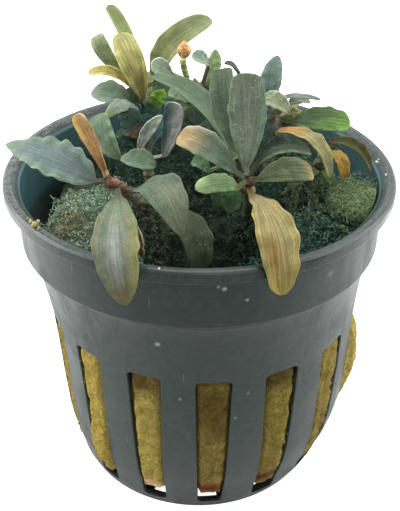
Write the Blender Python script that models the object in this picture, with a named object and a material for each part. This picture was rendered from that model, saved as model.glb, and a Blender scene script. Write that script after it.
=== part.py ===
"""A bucephalandra in its slotted net pot: pot, rock wool plug, moss tuft, stems, bud and leaves.

All sizes below are in millimetres. The origin is the centre of the pot's underside, the front
is -Y and +Z is up.
"""

import math

import bmesh
import bpy
from mathutils import Vector

MM = 0.001
UP = Vector((0, 0, 1))

# Net pot
POT_HEIGHT = 49.0
RIM_RADIUS = 27.5
RIM_CORNER = 0.4
RIM_TOP_INNER = 26.3
RIM_SKIRT_FOOT = 47.3
RIM_SKIRT_WALL = 0.7
RIM_UNDERSIDE = 48.1
BAND_RADIUS = 25.9
BAND_FOOT = 39.7
BASE_RADIUS = 18.2
BASE_CORNER = 0.6
WALL = 0.75
FLOOR = 0.8

# Slots, counted round the pot from the front, in degrees and millimetres
SLOTS = 15
SLOT_PHASE = 5.3
SLOT_TOP = 28.6
SLOT_FOOT = 2.4
SLOT_WIDTH_TOP = 12.2
SLOT_WIDTH_FOOT = 10.1
FLOOR_SLOT_IN = 9.0
FLOOR_SLOT_OUT = 17.0
COLUMNS_PER_SLOT = 4
COLUMNS = SLOTS * COLUMNS_PER_SLOT
PITCH = 360 / SLOTS

# Outside of the wall from the slots' feet up to the band: height and radius
WALL_LINE = ((SLOT_FOOT, 19.7), (5.5, 20.6), (10, 21.8), (17, 22.5), (SLOT_TOP, 23.1), (36, 24.1), (38.9, 24.9))

# The wool inside pushes the right of the wall out and lets the left of it sink in: height and shift
WALL_LEAN = ((0, 0), (12, 0.95), (24, 0.9), (36, 0.3), (41, 0), (POT_HEIGHT, 0))

# Rock wool plug
PLUG_GAP = 0.45
PLUG_HEIGHTS = (5.2, 9, 17.5, 26, 28.2, 36.5, 42.5)
PLUG_CUT_LEFT = 20.5
PLUG_CUT_HEIGHT = 36.0
PLUG_RINGS = (0.85, 0.58, 0.28)
PLUG_SHRINK = 0.6
# Mounds and hollows of the plug's top: centre x and y, radius, height
PLUG_RELIEF = ((-15, -12, 10, 3.5), (14, -12, 9, 2.0), (2, 8, 14, 2.5), (1, -17, 10, -8.5))
# Where the wool comes out through the slots: direction in degrees, height, reach past the wall
WOOL_BULGES = ((77, 18, 1.3), (101, 17, 1.0), (-43, 9, 0.8))
BULGE_TALL = 9.5
BULGE_WIDE = 13.0
BULGE_TOP = SLOT_TOP - 1

# Moss tuft on the plug, against the rim at the right
TUFT_CENTRE = (21.2, -5, 46.8)
TUFT_SIZE = (7.4, 11.5, 4.0)
TUFT_GAP = 0.35

# Leaves
LEAF_THICKNESS = 0.45
LEAF_FOLD = 14.0
BLADE_ROWS = 6
PETIOLE_WIDTH = 0.7
PETIOLE_GAP = 0.3
# Outlines of blades: where along its length it is widest, how full it is there, its tip's share of the width
POINTED = (1.1, 0.68, 0.08)
ACUTE = (0.85, 0.75, 0.03)
BLUNT = (1.3, 0.68, 0.36)
BROAD = (1.5, 0.55, 0.6)
STRAP = (1.25, 0.42, 0.5)
LONG = (0.9, 0.4, 0.12)
FLARED = (3.0, 0.8, 0.8)
# The ways blades look
FRONT = (0, -1, 0.3)
SLOPING = (0, -0.8, 1)
UPWARD = (0, -1, 1.2)
RIGHTWARDS = (0.3, -1, 0.9)
RIGHT = (1, 0, 0.5)
BACK = (0, 0.6, 1)

# Stems
STEM_RADIUS = 0.75
STALK_RADIUS = 0.5
BUD_CENTRE = (-2.3, 10.2, 62.3)
BUD_SIZE = (2.1, 2.1, 2.5)

# Finishes: colour and roughness
POT_PLASTIC = ((0.045, 0.058, 0.060), 0.38)
WOOL = ((0.21, 0.16, 0.045), 0.95)
MOSS = ((0.22, 0.27, 0.12), 0.9)
STEM_RED = ((0.19, 0.065, 0.030), 0.6)
BUD_TAN = ((0.45, 0.22, 0.06), 0.6)
GREY = ((0.115, 0.145, 0.115), 0.45)
DARK = ((0.030, 0.060, 0.045), 0.45)
OLIVE = ((0.15, 0.16, 0.06), 0.5)
YELLOW = ((0.36, 0.32, 0.13), 0.55)
ORANGE = ((0.45, 0.20, 0.06), 0.6)
FRESH = ((0.13, 0.24, 0.06), 0.45)
PALE = ((0.24, 0.30, 0.16), 0.5)

# Stems: name, the points of the centre line, radius
STEMS = (
    ("front_left", ((-6.5, -8, 45), (-8.2, -11.5, 49.8), (-9.8, -13.3, 52.4), (-11.6, -14.1, 54)), STEM_RADIUS),
    ("front_right", ((6.5, -8, 45), (6.6, -10.5, 49), (6.4, -12.2, 51.8), (6.2, -12.5, 53.4)), STEM_RADIUS),
    ("middle", ((-6.5, -1, 46), (-7.2, -0.6, 48.2), (-7.4, -0.2, 50)), STEM_RADIUS),
    ("centre", ((4.5, 0, 46), (5.2, -1.5, 49), (5.6, -2.4, 51.4)), STEM_RADIUS),
    ("back_left", ((-7.5, 9, 46), (-8.6, 13, 49.5), (-9, 13.2, 52.5), (-9.6, 13.2, 55)), STEM_RADIUS),
    ("back_top", ((-1, 8, 46), (-0.6, 12, 51), (0.2, 12.8, 55.5)), STEM_RADIUS),
    ("back_right", ((9.5, 1, 46), (10.4, 3.7, 49.6), (11.6, 6.8, 53.6)), STEM_RADIUS),
    ("right", ((14.5, -1, 46.5), (16.3, -2.4, 50), (17, -3.2, 52.6)), STEM_RADIUS),
    ("bud", ((-2, 14.2, 56.6), (-2.4, 12.5, 58.8), (-2.5, 10.9, 60.6)), STALK_RADIUS),
)

# Leaves by the stem they grow from: name, the blade's foot, middle and tip, width, outline, the way it looks,
# finish
LEAVES = {
    "front_left": (
        ("front_left_outer", (-13.2, -14.3, 53.9), (-18.5, -12.7, 56.5), (-25.8, -5, 54.5), 5.3, ACUTE, UPWARD, GREY),
        ("front_left_dry", (-11.9, -12.5, 54.3), (-13.1, -11.6, 57), (-15.3, -10.2, 61.2), 2.3, FLARED, FRONT, ORANGE),
        ("front_left_hanging", (-10, -15.6, 52.4), (-9.5, -26.3, 52.3), (-8.5, -29, 45.5), 5.7, POINTED, SLOPING, GREY),
        ("front_left_bent", (-8, -14.4, 52.6), (-4.4, -18, 54.9), (-2, -21.5, 50.4), 5, POINTED, RIGHTWARDS, GREY),
        ("front_middle_low", (-3.5, -12, 49), (-0.5, -18.5, 49), (0.2, -19.8, 44), 4, BLUNT, SLOPING, OLIVE),
    ),
    "front_right": (
        ("middle_long", (4.6, -11.3, 53.8), (1.2, -10.8, 57), (-2.6, -9.8, 58.2), 4, BROAD, SLOPING, GREY),
        ("right_upright", (6, -10.8, 54.2), (6, -9, 60), (5.8, -7.5, 65.7), 4.9, BROAD, FRONT, GREY),
        ("right_low_left", (4.8, -13.9, 52.9), (3, -15, 54.3), (-0.5, -15, 53.5), 2.7, BROAD, SLOPING, PALE),
        ("right_low_right", (7.5, -13.7, 54), (10.7, -13.7, 55.4), (14.4, -11.5, 54), 3.6, BROAD, SLOPING, OLIVE),
        ("right_dark", (7.2, -10.8, 54.5), (10.4, -9.7, 56.9), (14.3, -9.3, 55.6), 2.8, BLUNT, SLOPING, DARK),
        ("right_hanging", (6.6, -14.2, 52), (9, -23, 52.3), (9.9, -27.4, 46), 5.1, BLUNT, SLOPING, YELLOW),
    ),
    "middle": (
        ("left_inner", (-11.2, -1.7, 50.9), (-13.3, -1.2, 53.7), (-14, 0.3, 56.5), 3.8, BROAD, FRONT, GREY),
        ("middle_pointed", (-6.2, -2.9, 50.5), (-8.2, -4, 51.9), (-10.8, -3.8, 51.7), 3.2, ACUTE, SLOPING, GREY),
        ("middle_narrow", (-8.5, 1.2, 51), (-7.2, 0.7, 54), (-5.2, 1, 56.2), 1.8, POINTED, FRONT, GREY),
        ("middle_upright", (-4.9, -0.5, 50.7), (-3.8, -0.5, 55.3), (-3.5, -1, 59), 2.8, BROAD, FRONT, GREY),
    ),
    "centre": (
        ("right_upright_behind", (5.8, -4, 52.5), (3.5, -1.5, 58), (3, 2.5, 62.4), 3.8, BROAD, FRONT, DARK),
        ("long_crossing", (4.5, 0, 51.5), (-0.1, 4.7, 57.2), (-7.1, 9.2, 58.6), 3.1, POINTED, SLOPING, GREY),
        ("middle_shaded", (3.2, 0.2, 50.2), (0.9, 4.3, 53.2), (-1.9, 8, 54), 3, BLUNT, SLOPING, DARK),
    ),
    "back_left": (
        ("left_curled", (-9, 9.2, 53.3), (-11, 5.2, 56), (-13.5, 5.7, 53.9), 2.4, BLUNT, SLOPING, OLIVE),
        ("top_left_tall", (-9.2, 14.4, 56.5), (-10.9, 15.5, 62.4), (-13.5, 17, 66.6), 2.2, STRAP, FRONT, OLIVE),
        ("top_left_broad", (-8.5, 11.2, 54.5), (-9.7, 10.6, 59.8), (-11.7, 12.4, 63.9), 4, BROAD, FRONT, YELLOW),
        ("top_left_round", (-11.4, 14.8, 55.8), (-14.2, 13.7, 60.7), (-15.2, 14.8, 62.7), 2.6, BROAD, FRONT, OLIVE),
        ("top_left_yellow", (-10.8, 11.8, 56.7), (-13.1, 10.5, 58.9), (-16.4, 12, 58.1), 1.6, STRAP, FRONT, YELLOW),
        ("top_left_grey", (-10.3, 11.5, 52.7), (-12.5, 8.5, 56.1), (-16, 10, 55.5), 4.1, POINTED, SLOPING, GREY),
        ("lime", (-6.9, 12.6, 51.8), (-6.5, 12.7, 53.5), (-5.5, 13, 55), 2.3, BLUNT, FRONT, FRESH),
        ("top_arching", (-6.6, 14.2, 55.8), (-4.7, 12.6, 62.1), (1.4, 14.4, 65.6), 3.8, STRAP, FRONT, OLIVE),
        ("back_left_low", (-10.5, 13.8, 50.4), (-13, 15.5, 52), (-15.5, 18.5, 51), 4.2, POINTED, BACK, GREY),
        ("back_left_small", (-7.7, 15, 52.5), (-7.5, 18.5, 54.5), (-8.5, 21.5, 54.5), 3.4, BLUNT, BACK, OLIVE),
    ),
    "back_top": (
        ("middle_pale", (-1.9, 11.4, 53.9), (-3.3, 10.7, 55.3), (-4.7, 11, 55.4), 2.1, BLUNT, SLOPING, PALE),
        ("back_left_inner", (-2.9, 14.8, 52.2), (-5.2, 15.3, 54.1), (-7.3, 15.5, 55.1), 2.6, BLUNT, FRONT, GREY),
        ("top_grey_short", (1.2, 9.9, 60.3), (0.2, 9.4, 61.4), (-1.2, 9.3, 61.8), 2.2, BROAD, SLOPING, GREY),
        ("top_pointed", (1.3, 13, 56.5), (2, 13.1, 58.8), (2.3, 13.1, 61.4), 2.3, POINTED, FRONT, GREY),
        ("top_vivid", (0.2, 14.8, 55.4), (1, 14.6, 55.4), (2, 14.2, 55.2), 1.8, BROAD, FRONT, FRESH),
        ("top_nub", (0.2, 9.9, 56.8), (-0.6, 9.1, 57.7), (-0.9, 8.6, 58.4), 1.1, BLUNT, SLOPING, OLIVE),
        ("top_pale", (-4.3, 11, 58.3), (-5.6, 10, 59.7), (-6.8, 9.4, 60.9), 2.6, BROAD, FRONT, GREY),
        ("top_thin", (6.5, 13, 56), (5, 12, 59), (3.5, 11, 60), 1.4, POINTED, RIGHT, DARK),
        ("back_low", (-2.3, 14, 50.5), (-2, 18.5, 52), (-1, 23, 50.7), 4.4, BLUNT, BACK, GREY),
        ("back_inner", (2.4, 11.6, 52.4), (5, 15, 53.5), (6, 19.5, 52.5), 3.8, POINTED, BACK, DARK),
    ),
    "back_right": (
        ("back_right_dark", (10.2, 8, 54.4), (10.1, 7.9, 58.7), (11, 9, 62), 3.2, POINTED, FRONT, DARK),
        ("back_right_tendril", (11.8, 8.2, 55.8), (14, 5.5, 57.3), (17, 4.5, 57.2), 0.9, POINTED, SLOPING, GREY),
        ("back_right_narrow", (12.6, 7.2, 54.8), (14, 7.3, 56), (16, 7.5, 55.5), 1.4, POINTED, SLOPING, GREY),
        ("back_right_pale", (12.8, 5, 55), (11.1, 5.2, 56.7), (8.9, 5.6, 57.1), 2.5, BROAD, FRONT, PALE),
        ("right_green", (13.4, 5.2, 53.4), (16.8, 3, 54.8), (21.5, 5, 53.3), 4, BROAD, SLOPING, FRESH),
        ("right_yellow_arching", (11.1, 0.5, 54.2), (15.4, -5.6, 55.6), (17.3, -8.1, 51.4), 2, LONG, SLOPING, YELLOW),
        ("back_right_low", (11.2, 8.4, 50.9), (13, 12.5, 52.2), (15, 17, 51), 4.2, BLUNT, BACK, OLIVE),
    ),
    "right": (
        ("right_ochre", (17.8, -4.6, 53.4), (18.7, -7, 53.6), (19.3, -7.7, 51.2), 1.8, STRAP, SLOPING, YELLOW),
        ("right_brown_arching", (17.9, -2.9, 54.2), (21.1, -4.6, 54.2), (23.2, -4.8, 50.8), 1.8, LONG, SLOPING, OLIVE),
    ),
}


def between(line, x):
    """The value at x on a line given as pairs in rising order."""
    for (x0, y0), (x1, y1) in zip(line, line[1:]):
        if x <= x1:
            return y0 + (y1 - y0) * max(0.0, x - x0) / (x1 - x0)
    return line[-1][1]


def make_material(name, finish):
    colour, roughness = finish
    made = bpy.data.materials.new(name)
    made.use_nodes = True
    shader = made.node_tree.nodes["Principled BSDF"]
    shader.inputs["Base Color"].default_value = (*colour, 1)
    shader.inputs["Roughness"].default_value = roughness
    shader.inputs["Metallic"].default_value = 0
    return made


def add_object(name, data, finish):
    made = bpy.data.objects.new(name, data)
    bpy.context.scene.collection.objects.link(made)
    made.data.materials.append(make_material(name, finish))
    return made


def add_mesh(name, bm, finish, smooth_angle=40):
    """Turns millimetres into metres and makes the object."""
    bmesh.ops.scale(bm, vec=(MM, MM, MM), verts=bm.verts)
    bmesh.ops.recalc_face_normals(bm, faces=bm.faces)
    mesh = bpy.data.meshes.new(name)
    bm.to_mesh(mesh)
    bm.free()
    mesh.shade_smooth()
    mesh.set_sharp_from_angle(angle=math.radians(smooth_angle))
    return add_object(name, mesh, finish)


def direction(degrees):
    """Level direction counted from the front towards the right."""
    angle = math.radians(degrees)
    return Vector((math.sin(angle), -math.cos(angle), 0))


def slot_width(height):
    return between(((SLOT_FOOT, SLOT_WIDTH_FOOT), (SLOT_TOP, SLOT_WIDTH_TOP)), height)


def column_of(point):
    """Which slot and which of its columns a spun point belongs to."""
    turn = math.degrees(math.atan2(point.x, -point.y)) % 360
    return divmod(round(turn / 360 * COLUMNS) % COLUMNS, COLUMNS_PER_SLOT)


def column_angle(slot, column, height):
    """Columns 0 and 2 are a slot's edges, 1 is its middle and 3 the middle of the rib."""
    half = slot_width(height) / 2
    return SLOT_PHASE + PITCH * slot + (-half, 0, half, PITCH / 2)[column]


def lean(height, degrees):
    return between(WALL_LEAN, height) * math.sin(math.radians(degrees))


def spin_outline(outline):
    """Turns an outline of radius and height round the pot's axis."""
    bm = bmesh.new()
    points = [bm.verts.new((0, -radius, height)) for radius, height in outline]
    edges = [bm.edges.new(pair) for pair in zip(points, points[1:])]
    bmesh.ops.spin(
        bm, geom=points + edges, cent=(0, 0, 0), axis=(0, 0, 1), angle=math.tau, steps=COLUMNS, use_merge=True
    )
    bmesh.ops.remove_doubles(bm, verts=bm.verts, dist=1e-5)
    return bm


def fit_to_columns(bm):
    """Moves each spun point to its slot's edge or middle, and leans the wall."""
    for vert in bm.verts:
        radius = vert.co.xy.length
        if radius < 1e-3:
            continue
        height = vert.co.z
        angle = column_angle(*column_of(vert.co), height)
        vert.co = direction(angle) * (radius + lean(height, angle)) + UP * height


def inner_radius(height):
    return between(WALL_LINE, height) - WALL


def pot_outline():
    """From the middle of the underside, up the outside, over the rim and down the inside."""
    outside = [(radius, height) for height, radius in WALL_LINE]
    inside = [(inner_radius(height), height) for height, _ in reversed(WALL_LINE)]
    skirt_inner = RIM_RADIUS - RIM_SKIRT_WALL
    rim = [
        (BAND_RADIUS - 0.15, BAND_FOOT),
        (BAND_RADIUS, RIM_UNDERSIDE),
        (skirt_inner, RIM_UNDERSIDE),
        (skirt_inner, RIM_SKIRT_FOOT),
        (RIM_RADIUS, RIM_SKIRT_FOOT),
        (RIM_RADIUS, POT_HEIGHT - RIM_CORNER),
        (RIM_RADIUS - RIM_CORNER, POT_HEIGHT),
        (RIM_TOP_INNER, POT_HEIGHT),
        (BAND_RADIUS - WALL, POT_HEIGHT - 1.2),
        (BAND_RADIUS - WALL - 0.1, BAND_FOOT + 0.6),
    ]
    underside = [(0, 0), (FLOOR_SLOT_IN, 0), (FLOOR_SLOT_OUT, 0), (BASE_RADIUS, 0)]
    foot = [(BASE_RADIUS + BASE_CORNER, BASE_CORNER)]
    floor = [(FLOOR_SLOT_OUT + 0.6, FLOOR), (FLOOR_SLOT_OUT, FLOOR), (FLOOR_SLOT_IN, FLOOR), (0, FLOOR)]
    return underside + foot + outside + rim + inside + floor


def in_slot(face):
    """Whether a face of the spun pot lies across a slot of the wall or of the floor."""
    columns = {column_of(vert.co)[1] for vert in face.verts}
    if columns not in ({0, 1}, {1, 2}):
        return False
    heights = [vert.co.z for vert in face.verts]
    radii = [vert.co.xy.length for vert in face.verts]
    on_wall = min(heights) > SLOT_FOOT - 0.01 and max(heights) < SLOT_TOP + 0.01 and min(radii) > FLOOR_SLOT_OUT
    on_floor = (
        max(heights) < FLOOR + 0.01 and min(radii) > FLOOR_SLOT_IN - 0.01 and max(radii) < FLOOR_SLOT_OUT + 0.01
    )
    return on_wall or on_floor


def make_pot():
    bm = spin_outline(pot_outline())
    bmesh.ops.delete(bm, geom=[face for face in bm.faces if in_slot(face)], context="FACES")
    rims = {}
    for edge in bm.edges:
        if edge.is_boundary:
            middle = (edge.verts[0].co + edge.verts[1].co) / 2
            turn = math.degrees(math.atan2(middle.x, -middle.y)) % 360
            slot = round(turn / PITCH - 1 / COLUMNS_PER_SLOT) % SLOTS
            rims.setdefault((slot, middle.z > FLOOR + 0.01), []).append(edge)
    for edges in rims.values():
        bmesh.ops.bridge_loops(bm, edges=edges)
    fit_to_columns(bm)
    return add_mesh("net_pot", bm, POT_PLASTIC)


def plug_top(x, y, edge_height):
    """Height of the plug's top: mounds under the moss and a hollow at the front."""
    height = edge_height
    for centre_x, centre_y, radius, rise in PLUG_RELIEF:
        away = math.hypot(x - centre_x, y - centre_y) / radius
        height += rise * math.exp(-away * away * 1.6)
    return height


def wool_reach(angle, height):
    """How far the wool comes out of a slot past the inside of the wall."""
    reach = 0.0
    for bulge_angle, bulge_height, push in WOOL_BULGES:
        aside = ((angle - bulge_angle + 180) % 360 - 180) / BULGE_WIDE
        above = (height - bulge_height) / BULGE_TALL
        reach = max(reach, (push + WALL + PLUG_GAP) * (1 - aside * aside - above * above))
    return reach


def make_plug():
    edge = PLUG_HEIGHTS[-1]
    side = [(inner_radius(height) - PLUG_GAP, height) for height in PLUG_HEIGHTS]
    top = [((side[-1][0] - PLUG_SHRINK) * ring, edge + 1 - ring) for ring in PLUG_RINGS]
    bm = spin_outline([(0, PLUG_HEIGHTS[0])] + side + top + [(0, edge + 1)])
    for vert in bm.verts:
        radius = vert.co.xy.length
        height = vert.co.z
        slot, column = column_of(vert.co)
        angle = column_angle(slot, column, height)
        if radius > 1e-3:
            toward = direction(angle)
            reach = radius + lean(height, angle)
            if column == 1 and height < BULGE_TOP:
                reach += wool_reach(angle, height)
            if height > PLUG_CUT_HEIGHT and toward.x < 0:
                outer = side[-1][0]
                reach *= min(1, PLUG_CUT_LEFT / (outer * -toward.x))
            vert.co = toward * reach + UP * height
        if height >= edge:
            vert.co.z = plug_top(vert.co.x, vert.co.y, edge)
    return add_mesh("wool_plug", bm, WOOL)


def make_tuft():
    bm = bmesh.new()
    bmesh.ops.create_icosphere(bm, subdivisions=2, radius=0.5)
    bmesh.ops.scale(bm, vec=TUFT_SIZE, verts=bm.verts)
    bmesh.ops.translate(bm, vec=TUFT_CENTRE, verts=bm.verts)
    limit = BAND_RADIUS - WALL - TUFT_GAP
    for vert in bm.verts:
        radius = vert.co.xy.length
        if radius > limit:
            vert.co.xy = vert.co.xy * (limit / radius)
    return add_mesh("moss_tuft", bm, MOSS)


def blade_width(share, width, outline):
    """Width of the blade at a share of its length, from its foot to its tip."""
    widest, fullness, tip_share = outline
    swell = math.sin(math.pi * share**widest) ** fullness if 0 < share < 1 else 0.0
    ends = PETIOLE_WIDTH + (tip_share * width - PETIOLE_WIDTH) * share
    return ends + max(0.0, width - ends) * swell


def midrib(foot, middle, tip, share):
    """Point and direction on the curve from foot through middle to tip."""
    pull = middle * 2 - (foot + tip) / 2
    point = foot * (1 - share) ** 2 + pull * (2 * share * (1 - share)) + tip * share**2
    along = (pull - foot) * (1 - share) + (tip - pull) * share
    return point, along.normalized()


def stalk_start(stem, foot):
    """Where a stalk leaves its stem: beside the nearest point of the stem's centre line."""
    points, radius = next((points, radius) for name, points, radius in STEMS if name == stem)
    nearest = None
    for start, end in zip(points, points[1:]):
        start, end = Vector(start), Vector(end)
        share = (foot - start).dot(end - start) / (end - start).length_squared
        point = start.lerp(end, min(1, max(0, share)))
        if nearest is None or (foot - point).length < (foot - nearest).length:
            nearest = point
    return nearest + (foot - nearest).normalized() * (radius + PETIOLE_GAP + PETIOLE_WIDTH / 2)


def make_leaf(stem, name, foot, middle, tip, width, outline, looks, finish):
    """A folded blade with its stalk: the grid's first row is where the stalk leaves the stem."""
    foot, middle, tip = Vector(foot), Vector(middle), Vector(tip)
    across = (tip - foot).cross(Vector(looks)).normalized()
    fold = math.radians(LEAF_FOLD)
    rows = BLADE_ROWS + 1
    bm = bmesh.new()
    bmesh.ops.create_grid(bm, x_segments=2, y_segments=rows, size=0.5)
    for vert in bm.verts:
        side = vert.co.x * 2
        row = round((vert.co.y + 0.5) * rows)
        share = max(0, row - 1) / BLADE_ROWS
        point, along = midrib(foot, middle, tip, share)
        if row == 0:
            point = stalk_start(stem, foot)
        up = across.cross(along).normalized()
        half = blade_width(share, width, outline) / 2
        vert.co = point + across * side * half * math.cos(fold) + up * abs(side) * half * math.sin(fold)
    leaf = add_mesh("leaf_" + name, bm, finish)
    shell = leaf.modifiers.new("Thickness", "SOLIDIFY")
    shell.thickness = LEAF_THICKNESS * MM
    shell.offset = 0
    shell.use_even_offset = True
    return leaf


def make_stem(name, points, radius):
    curve = bpy.data.curves.new("stem_" + name, "CURVE")
    curve.dimensions = "3D"
    curve.bevel_depth = radius * MM
    curve.bevel_resolution = 1
    curve.use_fill_caps = True
    curve.resolution_u = 2
    curve.render_resolution_u = 2
    spline = curve.splines.new("BEZIER")
    spline.bezier_points.add(len(points) - 1)
    for bezier, point in zip(spline.bezier_points, points):
        bezier.co = Vector(point) * MM
        bezier.handle_left_type = "AUTO"
        bezier.handle_right_type = "AUTO"
    return add_object("stem_" + name, curve, STEM_RED)


def make_bud():
    bm = bmesh.new()
    bmesh.ops.create_icosphere(bm, subdivisions=2, radius=0.5)
    bmesh.ops.scale(bm, vec=BUD_SIZE, verts=bm.verts)
    bmesh.ops.translate(bm, vec=BUD_CENTRE, verts=bm.verts)
    return add_mesh("flower_bud", bm, BUD_TAN)


def main():
    for old in list(bpy.data.objects):
        bpy.data.objects.remove(old)
    make_pot()
    make_plug()
    make_tuft()
    for stem in STEMS:
        make_stem(*stem)
    make_bud()
    for stem, leaves in LEAVES.items():
        for leaf in leaves:
            make_leaf(stem, *leaf)


main()
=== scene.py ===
"""Looks of a bucephalandra growing in its slotted net pot.

Lengths in the tables and functions are in millimetres, in the part's own frame: the origin is the
centre of the pot's underside, the front is -Y and +Z is up. The sizes in the panel are in metres.
"""

import math
import random

import bmesh
import bpy
import numpy as np
from mathutils import Matrix, Vector, noise


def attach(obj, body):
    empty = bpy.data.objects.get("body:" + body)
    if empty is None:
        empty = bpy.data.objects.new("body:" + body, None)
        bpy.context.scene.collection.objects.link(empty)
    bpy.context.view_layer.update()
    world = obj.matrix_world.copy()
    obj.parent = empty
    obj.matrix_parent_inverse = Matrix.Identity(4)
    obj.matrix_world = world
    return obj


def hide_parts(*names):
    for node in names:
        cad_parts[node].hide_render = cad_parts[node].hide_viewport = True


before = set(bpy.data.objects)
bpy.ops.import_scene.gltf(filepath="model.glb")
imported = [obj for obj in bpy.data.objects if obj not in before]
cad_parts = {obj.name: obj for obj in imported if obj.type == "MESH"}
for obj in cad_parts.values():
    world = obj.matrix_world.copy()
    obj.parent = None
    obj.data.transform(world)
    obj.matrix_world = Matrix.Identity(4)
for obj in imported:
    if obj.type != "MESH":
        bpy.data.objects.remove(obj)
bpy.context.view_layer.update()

bl_info = {
    "name": "Bucephalandra in its net pot",
    "version": (1, 0, 0),
    "blender": (4, 5, 0),
    "location": "View3D > Sidebar > Bucephalandra",
    "description": "Builds the pot, wool, moss, stems, bud and leaves round the packed part",
    "category": "Add Mesh",
}

MM = 0.001
UP = Vector((0, 0, 1))

# Net pot: the same values as the part's
POT_HEIGHT = 49.0
RIM_TOP_INNER = 26.3
RIM_SKIRT_FOOT = 47.3
RIM_SKIRT_WALL = 0.7
RIM_UNDERSIDE = 48.1
BAND_RADIUS = 25.9
BAND_FOOT = 39.7
BASE_RADIUS = 18.2
BASE_CORNER = 0.6
FLOOR = 0.8
SLOTS = 15
SLOT_PHASE = 5.3
SLOT_TOP = 28.6
SLOT_FOOT = 2.4
SLOT_WIDTH_TOP = 12.2
SLOT_WIDTH_FOOT = 10.1
FLOOR_SLOT_IN = 9.0
FLOOR_SLOT_OUT = 17.0
COLUMNS_PER_SLOT = 16
SLOT_COLUMNS = 8
PITCH = 360 / SLOTS
WALL_LINE = (
    (SLOT_FOOT, 19.7), (3.6, 20.15), (5.5, 20.6), (7.6, 21.3), (10, 21.8), (13.4, 22.25), (17, 22.5),
    (22.6, 22.8), (27.4, 23.03), (SLOT_TOP, 23.1), (32, 23.5), (36, 24.1), (38.2, 24.6), (38.9, 24.9),
)
WALL_LEAN = ((0, 0), (12, 0.95), (24, 0.9), (36, 0.3), (41, 0), (POT_HEIGHT, 0))

# Rock wool plug
PLUG_GAP = 0.3
PLUG_CUT_LEFT = 20.5
PLUG_CUT_HEIGHT = 31.0
PLUG_TOP_EDGE = 42.5
PLUG_RELIEF = ((-15, -12, 10, 3.5), (14, -12, 9, 2.0), (2, 8, 14, 2.5), (1, -17, 10, -8.5))
WOOL_BULGES = ((77, 19.5, 1.3), (101, 17, 1.0), (-43, 9, 0.8))
BULGE_TALL = 9.5
BULGE_WIDE = 13.0
BULGE_TOP = SLOT_TOP - 1
TUFT_CENTRE = (21.2, -5, 46.8)
TUFT_SIZE = (7.4, 11.5, 4.0)

# Leaves
BLADE_COLUMNS = 10
BLADE_ROWS = 32
STALK_ROWS = 5
PETIOLE_WIDTH = 0.8
TIP_SHARE_LEFT = 0.3
# Outlines of blades: how near the tip a blade is widest, how slim it is on either side of there, and the
# tip's share of the width
POINTED = (1.1, 0.68, 0.08)
ACUTE = (0.85, 0.75, 0.03)
BLUNT = (1.3, 0.68, 0.36)
BROAD = (1.5, 0.55, 0.6)
STRAP = (1.25, 0.42, 0.5)
LONG = (0.9, 0.4, 0.12)
FLARED = (3.0, 0.8, 0.8)
FRONT = (0, -1, 0.3)
SLOPING = (0, -0.8, 1)
UPWARD = (0, -1, 1.2)
RIGHTWARDS = (0.3, -1, 0.9)
RIGHT = (1, 0, 0.5)
BACK = (0, 0.6, 1)


def seen(red, green, blue):
    """A colour given as it looks on a screen, 0 to 255, as the light it reflects."""
    shares = (red / 255, green / 255, blue / 255)
    return tuple(c / 12.92 if c <= 0.04045 else ((c + 0.055) / 1.055) ** 2.4 for c in shares)


# Stems: name, the points of the centre line
STEM_RADIUS = 0.75
STALK_RADIUS = 0.5
STEMS = {
    "front_left": ((-6.5, -8, 45), (-8.2, -11.5, 49.8), (-9.8, -13.3, 52.4), (-11.6, -14.1, 54)),
    "front_right": ((6.5, -8, 45), (6.6, -10.5, 49), (6.4, -12.2, 51.8), (6.2, -12.5, 53.4)),
    "middle": ((-6.5, -1, 46), (-7.2, -0.6, 48.2), (-7.4, -0.2, 50)),
    "centre": ((4.5, 0, 46), (5.2, -1.5, 49), (5.6, -2.4, 51.4)),
    "back_left": ((-7.5, 9, 46), (-8.6, 13, 49.5), (-9, 13.2, 52.5), (-9.6, 13.2, 55)),
    "back_top": ((-1, 8, 46), (-0.6, 12, 51), (0.2, 12.8, 55.5)),
    "back_right": ((9.5, 1, 46), (10.4, 3.7, 49.6), (11.6, 6.8, 53.6)),
    "right": ((14.5, -1, 46.5), (16.3, -2.4, 50), (17, -3.2, 52.6)),
    "bud": ((-2, 14.2, 56.6), (-2.4, 12.5, 58.8), (-2.5, 10.9, 60.6)),
}
BUD_CENTRE = (-2.3, 10.2, 62.3)
BUD_SIZE = (2.1, 2.1, 2.5)


def leaf(name, foot, middle, tip, width, outline, tints, looks=SLOPING, skin="waxy", **more):
    """One leaf's row: its blade, its tints from middle to edge to tip, which way it looks and its skin."""
    shape = {"fold": 14, "curl": 0.0, "ripple": 0.12, "waves": 4, "twist": 0, "cap": 1.0, "lobes": (0, 0)}
    shape.update(name=name, foot=Vector(foot), middle=Vector(middle), tip=Vector(tip), looks=Vector(looks))
    shape.update(width=width, outline=outline, tints=[seen(*tint) for tint in tints], skin=skin)
    shape.update(dabs=(), notches=(), young=False)
    shape.update(more)
    return shape


GREY_GREEN = ((112, 130, 112), (125, 142, 120), (118, 134, 112))
OLIVE_GREEN = ((108, 118, 80), (122, 130, 90), (116, 122, 84))
DARK_GREEN = ((62, 82, 68), (84, 100, 80), (70, 88, 70))

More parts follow.
